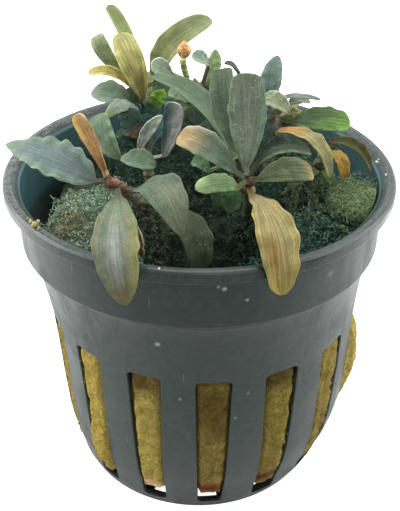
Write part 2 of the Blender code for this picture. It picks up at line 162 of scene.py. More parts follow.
# Leaves by the stem they grow from: name, the blade's foot, middle and tip, width, outline, tints and what
# else sets it apart. A dab is its place along and across the blade, its reach each way, colour and strength;
# a notch is its place, side, reach and depth.
LEAVES = {
    "front_left": (
        leaf("front_left_outer", (-13.2, -14.3, 53.9), (-18.5, -12.7, 56.5), (-25.8, -5, 54.5), 5.3, ACUTE,
            ((100, 116, 116), (122, 140, 122), (124, 140, 118)), looks=UPWARD, waves=6, fold=8,
            dabs=((0.15, 0.2, 0.2, 0.3, (90, 100, 102), 0.8),), ripple=0.4, lobes=(7, 0.16), twist=-8),
        leaf("front_left_dry", (-11.9, -12.5, 54.3), (-13.1, -11.6, 57), (-15.3, -10.2, 61.2), 2.3, FLARED,
            ((206, 160, 110), (190, 142, 98), (226, 188, 134)), looks=FRONT, skin="dry", ripple=0.1,
            fold=34, cap=0.35, dabs=((0.0, 0, 0.22, 1, (140, 78, 50), 0.9),
            (0.95, -0.9, 0.3, 0.7, (216, 180, 104), 0.9))),
        leaf("front_left_hanging", (-10, -15.6, 52.4), (-9.5, -26.3, 52.3), (-8.5, -29, 45.5), 5.7,
            POINTED, ((106, 114, 104), (112, 112, 82), (118, 106, 76)), ripple=0.22, fold=12,
            dabs=((0.1, 0, 0.25, 1, (112, 128, 98), 0.8), (0.65, -0.9, 0.35, 0.5, (132, 132, 78), 0.9),
            (0.6, 0.1, 0.3, 0.3, (152, 156, 152), 0.7), (0.97, 0, 0.12, 0.25, (140, 100, 62), 0.8)),
            notches=((0.62, -1, 0.035, 0.2), (0.3, 1, 0.03, 0.06), (0.8, 1, 0.04, 0.08))),
        leaf("front_left_bent", (-8, -14.4, 52.6), (-4.4, -18, 54.9), (-2, -21.5, 50.4), 5, POINTED,
            ((84, 100, 82), (98, 112, 90), (88, 88, 66)), looks=RIGHTWARDS, fold=6,
            dabs=((0.62, -0.3, 0.2, 0.7, (128, 134, 112), 0.8),), ripple=0.3, waves=3),
        leaf("front_middle_low", (-3.5, -12, 49), (-0.5, -18.5, 49), (0.2, -19.8, 44), 4, BLUNT,
            ((63, 74, 53), (70, 81, 59), (78, 87, 68)), dabs=((0.55, 0.1, 0.1, 0.25, (38, 42, 34), 0.9),)),
    ),
    "front_right": (
        leaf("middle_long", (4.6, -11.3, 53.8), (1.2, -10.8, 57), (-2.6, -9.8, 58.2), 4, BROAD,
            ((86, 106, 90), (104, 122, 98), (190, 160, 118)),
            dabs=((0.95, 0, 0.3, 1.2, (196, 166, 122), 0.9), (0.8, 1, 0.25, 0.2, (230, 226, 205), 0.7)),
            cap=0.4),
        leaf("right_upright", (6, -10.8, 54.2), (6, -9, 60), (5.8, -7.5, 65.7), 4.9, BROAD,
            ((122, 132, 118), (118, 138, 114), (124, 136, 114)), looks=FRONT, skin="speckled", fold=10,
            cap=0.3, ripple=0.1),
        leaf("right_low_left", (4.8, -13.9, 52.9), (3, -15, 54.3), (-0.5, -15, 53.5), 2.7, BROAD,
            ((104, 128, 90), (120, 150, 92), (186, 214, 156)), curl=-0.3),
        leaf("right_low_right", (7.5, -13.7, 54), (10.7, -13.7, 55.4), (14.4, -11.5, 54), 3.6, BROAD,
            ((77, 87, 59), (90, 102, 66), (114, 110, 81)), skin="veined", curl=-0.15, cap=0.4,
            dabs=((0.97, 0.3, 0.12, 1.0, (158, 142, 94), 0.8),)),
        # right_dark's near-black tints are painted shade over its upper part, and its pale dab along one edge
        # is a painted highlight.
        leaf("right_dark", (7.2, -10.8, 54.5), (10.4, -9.7, 56.9), (14.3, -9.3, 55.6), 2.8, BLUNT,
            ((32, 46, 32), (34, 50, 34), (64, 78, 54)), dabs=((0.55, 1, 0.6, 0.3, (120, 136, 104), 0.9),
            (0.5, 0.3, 0.4, 0.3, (66, 82, 62), 0.7))),
        leaf("right_hanging", (6.6, -14.2, 52), (9, -23, 52.3), (9.9, -27.4, 46), 5.1, BLUNT,
            ((153, 141, 94), (155, 139, 86), (168, 145, 74)), skin="veined", waves=5, fold=10,
            dabs=((0.1, 0, 0.15, 1, (150, 140, 112), 0.6), (0.72, 0.35, 0.16, 0.35, (148, 112, 48), 0.95),
            (0.3, 0, 0.5, 0.1, (136, 112, 88), 0.6)), notches=((0.2, 1, 0.035, 0.3), (0.4, 1, 0.03, 0.12),
            (0.75, -1, 0.04, 0.1)), ripple=0.3),
    ),
    "middle": (
        leaf("left_inner", (-11.2, -1.7, 50.9), (-13.3, -1.2, 53.7), (-14, 0.3, 56.5), 3.8, BROAD,
            ((124, 147, 122), (147, 167, 136), (154, 170, 140)), looks=FRONT, cap=0.5, ripple=0.1),
        leaf("middle_pointed", (-6.2, -2.9, 50.5), (-8.2, -4, 51.9), (-10.8, -3.8, 51.7), 3.2, ACUTE,
            ((104, 124, 102), (116, 136, 108), (142, 158, 134)), cap=0.2),
        leaf("middle_narrow", (-8.5, 1.2, 51), (-7.2, 0.7, 54), (-5.2, 1, 56.2), 1.8, POINTED,
            ((175, 183, 172), (193, 202, 187), (208, 214, 199)), looks=FRONT),
        # middle_upright's dark teal dab over its left half is painted shade.
        leaf("middle_upright", (-4.9, -0.5, 50.7), (-3.8, -0.5, 55.3), (-3.5, -1, 59), 2.8, BROAD,
            ((160, 166, 160), (140, 158, 152), (176, 178, 170)), looks=FRONT, cap=0.3, ripple=0.05,
            dabs=((0.5, -0.9, 0.7, 0.65, (44, 82, 84), 0.95), (0.6, 0.7, 0.5, 0.6, (206, 204, 200), 0.9))),
    ),
    "centre": (
        leaf("right_upright_behind", (5.8, -4, 52.5), (3.5, -1.5, 58), (3, 2.5, 62.4), 3.8, BROAD,
            ((75, 90, 73), (94, 110, 86), (94, 106, 83)), looks=FRONT, cap=0.35),
        leaf("long_crossing", (4.5, 0, 51.5), (-0.1, 4.7, 57.2), (-7.1, 9.2, 58.6), 3.1, POINTED,
            ((100, 120, 98), (112, 132, 104), (126, 142, 122)), ripple=0.1),
        leaf("middle_shaded", (3.2, 0.2, 50.2), (0.9, 4.3, 53.2), (-1.9, 8, 54), 3, BLUNT,
            ((30, 46, 30), (36, 52, 36), (34, 50, 34))),
    ),
    "back_left": (
        leaf("left_curled", (-9, 9.2, 53.3), (-11, 5.2, 56), (-13.5, 5.7, 53.9), 2.4, BLUNT,
            ((134, 150, 132), (140, 156, 138), (112, 128, 60)), curl=-0.4),
        leaf("top_left_tall", (-9.2, 14.4, 56.5), (-10.9, 15.5, 62.4), (-13.5, 17, 66.6), 2.2, STRAP,
            ((162, 176, 121), (185, 196, 141), (165, 179, 127)), looks=FRONT),
        leaf("top_left_broad", (-8.5, 11.2, 54.5), (-9.7, 10.6, 59.8), (-11.7, 12.4, 63.9), 4, BROAD,
            ((213, 206, 133), (231, 218, 141), (218, 211, 143)), looks=FRONT, skin="veined",
            dabs=((0.2, 0.1, 0.25, 0.7, (146, 120, 66), 0.8),), ripple=0.1),
        leaf("top_left_round", (-11.4, 14.8, 55.8), (-14.2, 13.7, 60.7), (-15.2, 14.8, 62.7), 2.6, BROAD,
            ((148, 162, 124), (172, 183, 145), (153, 165, 131)), looks=FRONT),
        leaf("top_left_yellow", (-10.8, 11.8, 56.7), (-13.1, 10.5, 58.9), (-16.4, 12, 58.1), 1.6, STRAP,
            ((211, 198, 118), (223, 211, 133), (203, 193, 118)), looks=FRONT, skin="veined"),
        leaf("top_left_grey", (-10.3, 11.5, 52.7), (-12.5, 8.5, 56.1), (-16, 10, 55.5), 4.1, POINTED,
            ((104, 124, 106), (122, 142, 120), (126, 144, 124))),
        leaf("lime", (-6.9, 12.6, 51.8), (-6.5, 12.7, 53.5), (-5.5, 13, 55), 2.3, BLUNT,
            ((138, 188, 71), (176, 231, 96), (160, 213, 89)), looks=FRONT, skin="fresh"),
        leaf("top_arching", (-6.6, 14.2, 55.8), (-4.7, 12.6, 62.1), (1.4, 14.4, 65.6), 3.8, STRAP,
            ((159, 168, 122), (188, 193, 139), (166, 173, 127)), looks=FRONT, fold=18, ripple=0.2),
        leaf("back_left_low", (-10.5, 13.8, 50.4), (-13, 15.5, 52), (-15.5, 18.5, 51), 4.2, POINTED,
            GREY_GREEN, looks=BACK),
        leaf("back_left_small", (-7.7, 15, 52.5), (-7.5, 18.5, 54.5), (-8.5, 21.5, 54.5), 3.4, BLUNT,
            OLIVE_GREEN, looks=BACK),
    ),
    "back_top": (
        leaf("middle_pale", (-1.9, 11.4, 53.9), (-3.3, 10.7, 55.3), (-4.7, 11, 55.4), 2.1, BLUNT,
            ((149, 172, 142), (165, 186, 154), (163, 182, 152))),
        leaf("back_left_inner", (-2.9, 14.8, 52.2), (-5.2, 15.3, 54.1), (-7.3, 15.5, 55.1), 2.6, BLUNT,
            ((120, 138, 116), (130, 148, 124), (130, 146, 124)), looks=FRONT),
        leaf("top_grey_short", (1.2, 9.9, 60.3), (0.2, 9.4, 61.4), (-1.2, 9.3, 61.8), 2.2, BROAD,
            ((142, 159, 140), (159, 175, 154), (152, 168, 149))),
        leaf("top_pointed", (1.3, 13, 56.5), (2, 13.1, 58.8), (2.3, 13.1, 61.4), 2.3, POINTED,
            ((193, 220, 167), (220, 235, 187), (207, 231, 177)), looks=FRONT),
        leaf("top_vivid", (0.2, 14.8, 55.4), (1, 14.6, 55.4), (2, 14.2, 55.2), 1.8, BROAD,
            ((120, 168, 60), (134, 184, 72), (124, 172, 70)), looks=FRONT, skin="fresh"),
        leaf("top_nub", (0.2, 9.9, 56.8), (-0.6, 9.1, 57.7), (-0.9, 8.6, 58.4), 1.1, BLUNT,
            ((103, 114, 77), (115, 126, 88), (110, 119, 83)), ripple=0.02),
        leaf("top_pale", (-4.3, 11, 58.3), (-5.6, 10, 59.7), (-6.8, 9.4, 60.9), 2.6, BROAD,
            ((206, 222, 196), (220, 232, 206), (214, 228, 202)), looks=FRONT),
        leaf("top_thin", (6.5, 13, 56), (5, 12, 59), (3.5, 11, 60), 1.4, POINTED, DARK_GREEN, looks=RIGHT,
            ripple=0.02),
        leaf("back_low", (-2.3, 14, 50.5), (-2, 18.5, 52), (-1, 23, 50.7), 4.4, BLUNT, GREY_GREEN,
            looks=BACK),
        leaf("back_inner", (2.4, 11.6, 52.4), (5, 15, 53.5), (6, 19.5, 52.5), 3.8, POINTED, DARK_GREEN,
            looks=BACK),
    ),
    "back_right": (
        leaf("back_right_dark", (10.2, 8, 54.4), (10.1, 7.9, 58.7), (11, 9, 62), 3.2, POINTED,
            ((130, 152, 142), (155, 178, 165), (146, 165, 152)), looks=FRONT),
        leaf("back_right_tendril", (11.8, 8.2, 55.8), (14, 5.5, 57.3), (17, 4.5, 57.2), 0.9, POINTED,
            ((136, 146, 134), (150, 160, 146), (120, 128, 116)), ripple=0.02),
        leaf("back_right_narrow", (12.6, 7.2, 54.8), (14, 7.3, 56), (16, 7.5, 55.5), 1.4, POINTED,
            ((124, 136, 126), (138, 150, 140), (132, 144, 136)), ripple=0.02),
        leaf("back_right_pale", (12.8, 5, 55), (11.1, 5.2, 56.7), (8.9, 5.6, 57.1), 2.5, BROAD,
            ((190, 198, 164), (212, 218, 184), (204, 210, 174)), looks=FRONT),
        leaf("right_green", (13.4, 5.2, 53.4), (16.8, 3, 54.8), (21.5, 5, 53.3), 4, BROAD,
            ((78, 100, 70), (90, 116, 70), (100, 138, 54)), skin="veined",
            dabs=((0.85, 0.3, 0.3, 0.9, (104, 146, 52), 0.8),)),
        leaf("right_yellow_arching", (11.1, 0.5, 54.2), (15.4, -5.6, 55.6), (17.3, -8.1, 51.4), 2, LONG,
            ((146, 142, 98), (160, 156, 108), (140, 140, 98)), skin="veined",
            dabs=((0.08, 0, 0.2, 1.2, (196, 134, 52), 0.95),), ripple=0.25),
        leaf("back_right_low", (11.2, 8.4, 50.9), (13, 12.5, 52.2), (15, 17, 51), 4.2, BLUNT, OLIVE_GREEN,
            looks=BACK),
    ),
    "right": (
        leaf("right_ochre", (17.8, -4.6, 53.4), (18.7, -7, 53.6), (19.3, -7.7, 51.2), 1.8, STRAP,
            ((159, 126, 53), (168, 135, 59), (154, 117, 50)), skin="dry"),
        leaf("right_brown_arching", (17.9, -2.9, 54.2), (21.1, -4.6, 54.2), (23.2, -4.8, 50.8), 1.8, LONG,
            ((74, 71, 34), (88, 83, 44), (91, 83, 46)), fold=30),
    ),
}

# Young leaves in the shade between the others, too small and dark to be nodes of the part; their dark tints
# are mostly painted shade that fills the gaps between the leaves: the stem they grow from, the blade's foot
# and tip, width, tint
YOUNG_ARCH = 0.8
YOUNG_LEAVES = (
    ("back_left", (-8.5, 9, 50.6), (-10.6, 7, 54.2), 3.2, (44, 68, 62)),
    ("back_left", (-7.9, 10, 50.5), (-6.3, 11, 53.1), 3.0, (58, 84, 66)),
    ("back_left", (-9, 11, 50.3), (-10.3, 11, 53.6), 3.0, (52, 76, 64)),
    ("middle", (-8.1, 3, 51.5), (-10.8, 4, 52.4), 2.8, (70, 58, 44)),
    ("middle", (-7.1, 4, 51.5), (-8.9, 6, 53.5), 2.8, (38, 64, 62)),
    ("middle", (-6.6, 2, 51.7), (-5, 5, 53.4), 3.0, (40, 72, 72)),
    ("back_top", (0, 11, 51.1), (-1.9, 12, 53.4), 2.8, (96, 124, 86)),
    ("back_top", (0.5, 10, 51.4), (1.9, 11, 53.7), 2.6, (66, 94, 66)),
    ("back_top", (-0.4, 6, 51.4), (-2.6, 7, 53.1), 3.0, (50, 72, 50)),
    ("centre", (1.7, 2, 51.7), (0, 5, 53.1), 2.8, (46, 68, 50)),
    ("centre", (1.2, -6, 51.1), (-1, -6, 52.6), 2.4, (88, 116, 82)),
    ("back_right", (12.2, 6, 51.8), (10, 7, 53.7), 2.8, (76, 66, 46)),
    ("back_right", (12.7, 7, 52.3), (14.3, 8, 54.1), 2.2, (156, 156, 104)),
    ("back_right", (12.5, 4, 51.6), (14.6, 2, 51.7), 2.8, (40, 60, 42)),
    ("back_right", (11.9, 3, 51.8), (9.3, 1, 52.1), 3.0, (38, 54, 40)),
    ("right", (16.1, -3, 49.8), (14.3, -5, 49.8), 2.6, (74, 84, 58)),
    ("right", (16.9, -3, 49.7), (18.2, -5, 48.7), 1.6, (84, 108, 62)),
    ("front_right", (3.8, -12, 51.3), (2, -14, 50.4), 2.8, (40, 66, 40)),
    ("front_right", (4.5, -12, 51.3), (3.9, -15, 49.8), 2.8, (48, 76, 44)),
    ("middle", (-8.3, 3, 50.5), (-10.9, 5, 55.2), 3.4, (40, 62, 52)),
    ("middle", (-8.4, 3, 50.2), (-11.7, 5, 51.8), 3.2, (50, 74, 56)),
    ("back_left", (-9.6, 11, 52.3), (-11.2, 11, 55.8), 3.0, (92, 112, 84)),
    ("back_top", (0.6, 10, 52.8), (1.2, 10, 56.3), 2.4, (70, 98, 66)),
    ("right", (17.4, 1, 49.5), (15.3, 3, 52), 3.0, (38, 54, 42)),
    ("right", (17.8, 1, 49.5), (19.2, 3, 51.2), 2.6, (42, 60, 48)),
)


def young_leaf(number, foot, tip, width, tint):
    """A young leaf's row: it arches a little and is nearly the same colour all over."""
    middle = (Vector(foot) + Vector(tip)) / 2 + UP * YOUNG_ARCH
    tints = (tint, tuple(round(c * 1.15) for c in tint), tint)
    return leaf(f"young_{number}", foot, middle, tip, width, BLUNT, tints, young=True)


def between(line, x):
    """The value at x on a line given as pairs in rising order."""
    for (x0, y0), (x1, y1) in zip(line, line[1:]):
        if x <= x1:
            return y0 + (y1 - y0) * max(0.0, x - x0) / (x1 - x0)
    return line[-1][1]


def ease(x):
    x = min(1.0, max(0.0, x))
    return x * x * (3 - 2 * x)


def direction(degrees):
    """Level direction counted from the front towards the right."""
    angle = math.radians(degrees)
    return Vector((math.sin(angle), -math.cos(angle), 0))


def bearing(point):
    """The angle at which direction() points from the pot's axis to a point."""
    return math.degrees(math.atan2(point.x, -point.y))


def turn_between(first, second):
    """How far the first angle is past the second, from -180 to 180 degrees."""
    return (first - second + 180) % 360 - 180


def near(*ways):
    """1 at a place, falling off smoothly with distances given as shares of a reach."""
    return math.exp(-sum(way * way for way in ways))


def add_object(name, data):
    made = bpy.data.objects.new(name, data)
    bpy.context.scene.collection.objects.link(made)
    return made


def add_mesh(name, bm, materials, unit=MM):
    """Turns a bmesh into an object in metres, shaded smooth; unit is the length of the bmesh's own unit."""
    bmesh.ops.scale(bm, vec=(unit, unit, unit), verts=bm.verts)
    mesh = bpy.data.meshes.new(name)
    bm.to_mesh(mesh)
    bm.free()
    mesh.shade_smooth()
    for material in materials:
        mesh.materials.append(material)
    return add_object(name, mesh)


def add_modifier(made, label, kind, **values):
    modifier = made.modifiers.new(label, kind)
    for key, value in values.items():
        setattr(modifier, key, value)


def finish_piece(made, slot, *replaced):
    """Rides on the part's one body and stands for the nodes named. The slot is not used."""
    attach(made, "root")
    if replaced:
        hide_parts(*replaced)


def tint_mesh(mesh, colours):
    attribute = mesh.attributes.new("tint", "FLOAT_COLOR", "POINT")
    flat = np.ones((len(mesh.vertices), 4), np.float32)
    flat[:, :3] = colours
    attribute.data.foreach_set("color", flat.ravel())


# Node helpers


def place(tree, kind, inputs=(), out=0, **settings):
    """Adds a node; each input is a value or a socket to link from."""
    node = tree.nodes.new(kind)
    for key, value in settings.items():
        setattr(node, key, value)
    for key, value in inputs.items() if isinstance(inputs, dict) else enumerate(inputs):
        if isinstance(value, bpy.types.NodeSocket):
            tree.links.new(value, node.inputs[key])
        else:
            node.inputs[key].default_value = value
    return node.outputs[out]


def sums(tree, operation, *values):
    return place(tree, "ShaderNodeMath", values, operation=operation)


def times(tree, first, second):
    return sums(tree, "MULTIPLY", first, second)


def plus(tree, first, second):
    return sums(tree, "ADD", first, second)


def ramp(tree, value, low, high, start=0.0, end=1.0):
    """Eases from start to end as the value goes from low to high."""
    inputs = {0: value, 1: low, 2: high, 3: start, 4: end}
    return place(tree, "ShaderNodeMapRange", inputs, interpolation_type="SMOOTHSTEP")


def blend(tree, factor, first, second, kind="MIX"):
    """Mixes two colours, each a socket or three numbers."""
    first, second = (c if isinstance(c, bpy.types.NodeSocket) else (*c, 1) for c in (first, second))
    inputs = {0: factor, 6: first, 7: second}
    return place(tree, "ShaderNodeMix", inputs, 2, data_type="RGBA", blend_type=kind)


def lay_over(tree, base, *layers):
    """Lays colours over a base, each by a mask and a strength."""
    for mask, strength, colour in layers:
        base = blend(tree, times(tree, mask, strength), base, colour)
    return base


def noise_at(tree, vector, scale, detail=3.0, roughness=0.5):
    inputs = {"Vector": vector, "Scale": scale, "Detail": detail, "Roughness": roughness}
    return place(tree, "ShaderNodeTexNoise", inputs, "Fac")


def in_millimetres(tree, *stretch):
    """Object coordinates in millimetres, squeezed along an axis for streaks."""
    where = place(tree, "ShaderNodeTexCoord", out="Object")
    scale = [share / MM for share in stretch or (1, 1, 1)]
    return place(tree, "ShaderNodeVectorMath", (where, scale), operation="MULTIPLY")


def split_vector(tree, vector):
    return tuple(place(tree, "ShaderNodeSeparateXYZ", (vector,)).node.outputs)


def tint_of(tree):
    """The colour that tint_mesh() gave each point."""
    return place(tree, "ShaderNodeAttribute", out="Color", attribute_name="tint")


def new_group(name, inputs, outputs):
    group = bpy.data.node_groups.new(name, "ShaderNodeTree")
    for label, kind, value in inputs:
        socket = group.interface.new_socket(label, in_out="INPUT", socket_type="NodeSocket" + kind)
        socket.default_value = value
    for label, kind in outputs:
        group.interface.new_socket(label, in_out="OUTPUT", socket_type="NodeSocket" + kind)
    return group, group.nodes.new("NodeGroupInput"), group.nodes.new("NodeGroupOutput")


def new_material(name, roughness=0.5, specular=0.5):
    made = bpy.data.materials.new(name)
    made.use_nodes = True
    shader = made.node_tree.nodes["Principled BSDF"]
    shader.inputs["Roughness"].default_value = roughness
    shader.inputs["Specular IOR Level"].default_value = specular
    return made, made.node_tree, shader


def connect_bump(tree, shader, height, strength, distance):
    inputs = {"Height": height, "Strength": strength, "Distance": distance * MM}
    tree.links.new(place(tree, "ShaderNodeBump", inputs, "Normal"), shader.inputs["Normal"])


def mottle_group():
    """Cloudy light and dark patches with a finer grain in them, and its height for a bump."""
    inputs = (("Size", "Float", 0.5), ("Contrast", "Float", 1.0))
    group, given, result = new_group("mottle", inputs, (("Mask", "Float"), ("Height", "Float")))
    size, contrast = given.outputs["Size"], given.outputs["Contrast"]
    where = in_millimetres(group)
    coarse = noise_at(group, where, size, 4.0)
    fine = noise_at(group, where, times(group, size, 4.0))
    both = plus(group, times(group, coarse, 0.6), times(group, fine, 0.4))
    spread = sums(group, "MULTIPLY_ADD", sums(group, "SUBTRACT", both, 0.5), contrast, 0.5)
    group.links.new(place(group, "ShaderNodeClamp", (spread,)), result.inputs["Mask"])
    group.links.new(both, result.inputs["Height"])
    return group


def leaf_skin_group():
    """Veins that fan along the blade, mottling, dark flecks, stains and pale specks over a tint, with painted
    glints along the streaks, painted shade in the midrib groove and a paler edge, partly a painted highlight.
    """
    inputs = [("Tint", "Color", (0.2, 0.25, 0.15, 1))]
    inputs += [("Veins", "Float", 0.3), ("Specks", "Float", 0.2), ("Patches", "Float", 0.3)]
    outputs = (("Color", "Color"), ("Roughness", "Float"), ("Height", "Float"))
    group, given, result = new_group("leaf_skin", inputs, outputs)
    tint, veins, speckled, patches = (given.outputs[row[0]] for row in inputs)
    where = in_millimetres(group)
    across, along, _ = split_vector(group, place(group, "ShaderNodeUVMap", out="UV", uv_map="blade"))
    aside = times(group, sums(group, "ABSOLUTE", sums(group, "SUBTRACT", across, 0.5)), 2.0)
    fan = sums(group, "SUBTRACT", times(group, aside, 11.0), times(group, along, 5.0))
    fan = place(group, "ShaderNodeCombineXYZ", (fan, times(group, along, 1.8), times(group, across, 1.5)))
    streaks = noise_at(group, fan, 1.0, 4.0, 0.7)
    lines = ramp(group, streaks, 0.46, 0.64)
    # Painted glints: the blade lighter between the vein lines.
    glints = ramp(group, streaks, 0.48, 0.34)
    rib = ramp(group, aside, 0.16, 0.0)
    # Painted shade in the midrib groove.
    groove = ramp(group, aside, 0.06, 0.0)
    # A paler margin that is partly a painted highlight on the blade's rim.
    edge = ramp(group, aside, 0.86, 1.0)
    specks = ramp(group, noise_at(group, where, 5.5, 1.0, 0.6), 0.6, 0.7)
    specks = times(group, specks, ramp(group, noise_at(group, where, 0.7, 2.0), 0.45, 0.62))
    cloud = noise_at(group, where, 0.5, 4.0, 0.6)
    mottle = ramp(group, noise_at(group, where, 1.5, 5.0, 0.7), 0.3, 0.7)
    flecks = ramp(group, noise_at(group, where, 2.7, 3.0, 0.7), 0.62, 0.72)
    grain = noise_at(group, where, 9.0, 2.0)
    darker = blend(group, 1.0, tint, (0.55, 0.6, 0.56), "MULTIPLY")
    lighter = blend(group, 1.0, tint, (1.4, 1.42, 1.36), "MULTIPLY")
    lighter = blend(group, 0.03, lighter, (0.62, 0.66, 0.52))
    stained = blend(group, 1.0, tint, (0.92, 0.7, 0.42), "MULTIPLY")
    skin = blend(group, mottle, blend(group, 0.45, tint, darker), blend(group, 0.3, tint, lighter))
    # The glints are painted highlights, the edge is partly a painted highlight and the groove is painted
    # shade.
    skin = lay_over(
        group, skin,
        (ramp(group, cloud, 0.56, 0.38), patches, darker),
        (ramp(group, cloud, 0.58, 0.7), patches, stained),
        (lines, veins, darker),
        (glints, times(group, veins, 0.6), lighter),
        (rib, 0.35, lighter),
        (edge, 0.22, lighter),
        (groove, 0.6, darker),
        (flecks, 0.35, darker),
        (specks, speckled, (0.5, 0.53, 0.47)),
    )
    shine = sums(group, "MULTIPLY_ADD", grain, 0.25, 0.36)
    height = sums(group, "MULTIPLY_ADD", lines, times(group, veins, -1.2), times(group, grain, 0.35))
    height = sums(group, "MULTIPLY_ADD", mottle, 0.8, height)
    height = sums(group, "SUBTRACT", height, times(group, groove, 0.6))
    group.links.new(skin, result.inputs["Color"])
    group.links.new(sums(group, "MULTIPLY_ADD", mottle, 0.16, shine), result.inputs["Roughness"])
    group.links.new(height, result.inputs["Height"])
    return group


# Skins of leaves: how strong the veins, specks and patches are
SKINS = {
    "waxy": (0.5, 0.2, 0.5),
    "speckled": (0.7, 0.9, 0.7),
    "veined": (0.9, 0.1, 0.6),
    "fresh": (0.6, 0.05, 0.4),
    "dry": (0.8, 0.03, 0.8),
}
UNDERSIDE = (0.30, 0.33, 0.20)


def leaf_material(skin, underside, settings):
    name = f"leaf_{skin}_underside" if underside else f"leaf_{skin}"
    if name in bpy.data.materials:
        return bpy.data.materials[name]
    veins, specks, patches = SKINS[skin]
    made, tree, shader = new_material(name, specular=0.18)
    tint = tint_of(tree)
    if underside:
        tint = blend(tree, 0.35, tint, UNDERSIDE)
        veins *= 0.6
    group = bpy.data.node_groups.get("leaf_skin") or leaf_skin_group()
    inputs = {"Tint": tint, "Veins": veins, "Specks": specks, "Patches": patches}
    surface = place(tree, "ShaderNodeGroup", inputs, node_tree=group).node.outputs
    tree.links.new(surface["Color"], shader.inputs["Base Color"])
    tree.links.new(surface["Roughness"], shader.inputs["Roughness"])
    connect_bump(tree, shader, surface["Height"], 0.6, settings.vein_depth / MM)
    return made


WARM_SHADES = ((0.45, 0.42, 0.38), (1.45, 1.42, 1.3))
COOL_SHADES = ((0.5, 0.54, 0.54), (1.35, 1.42, 1.42))


def tinted_material(name, roughness, grain_size, contrast, bump, depth, specular=0.4, shades=WARM_SHADES):
    """Vertex tint broken up by mottling between two shades of it, for moss, wool and crumbs."""
    made, tree, shader = new_material(name, roughness, specular)
    group = bpy.data.node_groups.get("mottle") or mottle_group()
    inputs = {"Size": grain_size, "Contrast": contrast}
    surface = place(tree, "ShaderNodeGroup", inputs, node_tree=group).node.outputs
    tint = tint_of(tree)
    dark, light = (blend(tree, 1.0, tint, shade, "MULTIPLY") for shade in shades)
    tree.links.new(blend(tree, surface["Mask"], dark, light), shader.inputs["Base Color"])
    connect_bump(tree, shader, surface["Height"], bump, depth)
    return made


# Scuffs and flecks on the plastic: centre, size, strength
POT_MARKS = (
    ((3.1, -25.7, 45.6), 0.3, 0.75),
    ((2.4, -25.8, 45.9), 0.2, 0.5),
    ((5.9, -25.1, 43.6), 0.22, 0.55),
    ((0.4, -23.9, 38.6), 0.22, 0.6),
    ((0.6, -23.9, 37.2), 0.2, 0.6),
    ((-5.2, -23.4, 35.3), 0.34, 0.7),
    ((-4.7, -23.6, 37.5), 0.2, 0.5),
    ((6.7, -22.0, 26.2), 0.26, 0.5),
    ((3.1, -22.9, 31.0), 0.2, 0.45),
    ((-2.4, -22.8, 25.5), 0.22, 0.45),
    ((-1.3, -22.3, 18.8), 0.2, 0.4),
    ((5.1, -22.2, 21.9), 0.26, 0.5),
    ((11.9, -20.4, 32.7), 0.22, 0.4),
    ((-15.2, -19.2, 34.8), 0.5, 0.2),
    ((18.2, -14.7, 31.3), 0.5, 0.2),
    ((16.5, -19.8, 44.0), 0.5, 0.15),
)


def mark_group():
    """A ragged spot round a centre, both in millimetres."""
    inputs = (("Centre", "Vector", (0, 0, 0)), ("Size", "Float", 0.4), ("Ragged", "Float", 0.5))
    group, given, result = new_group("mark", inputs, (("Mask", "Float"),))
    centre, size, ragged = (given.outputs[row[0]] for row in inputs)
    where = in_millimetres(group)
    away = place(group, "ShaderNodeVectorMath", (where, centre), "Value", operation="DISTANCE")
    away = plus(group, sums(group, "DIVIDE", away, size), times(group, ragged, 3.0))
    group.links.new(ramp(group, away, 2.9, 1.9), result.inputs["Mask"])
    return group


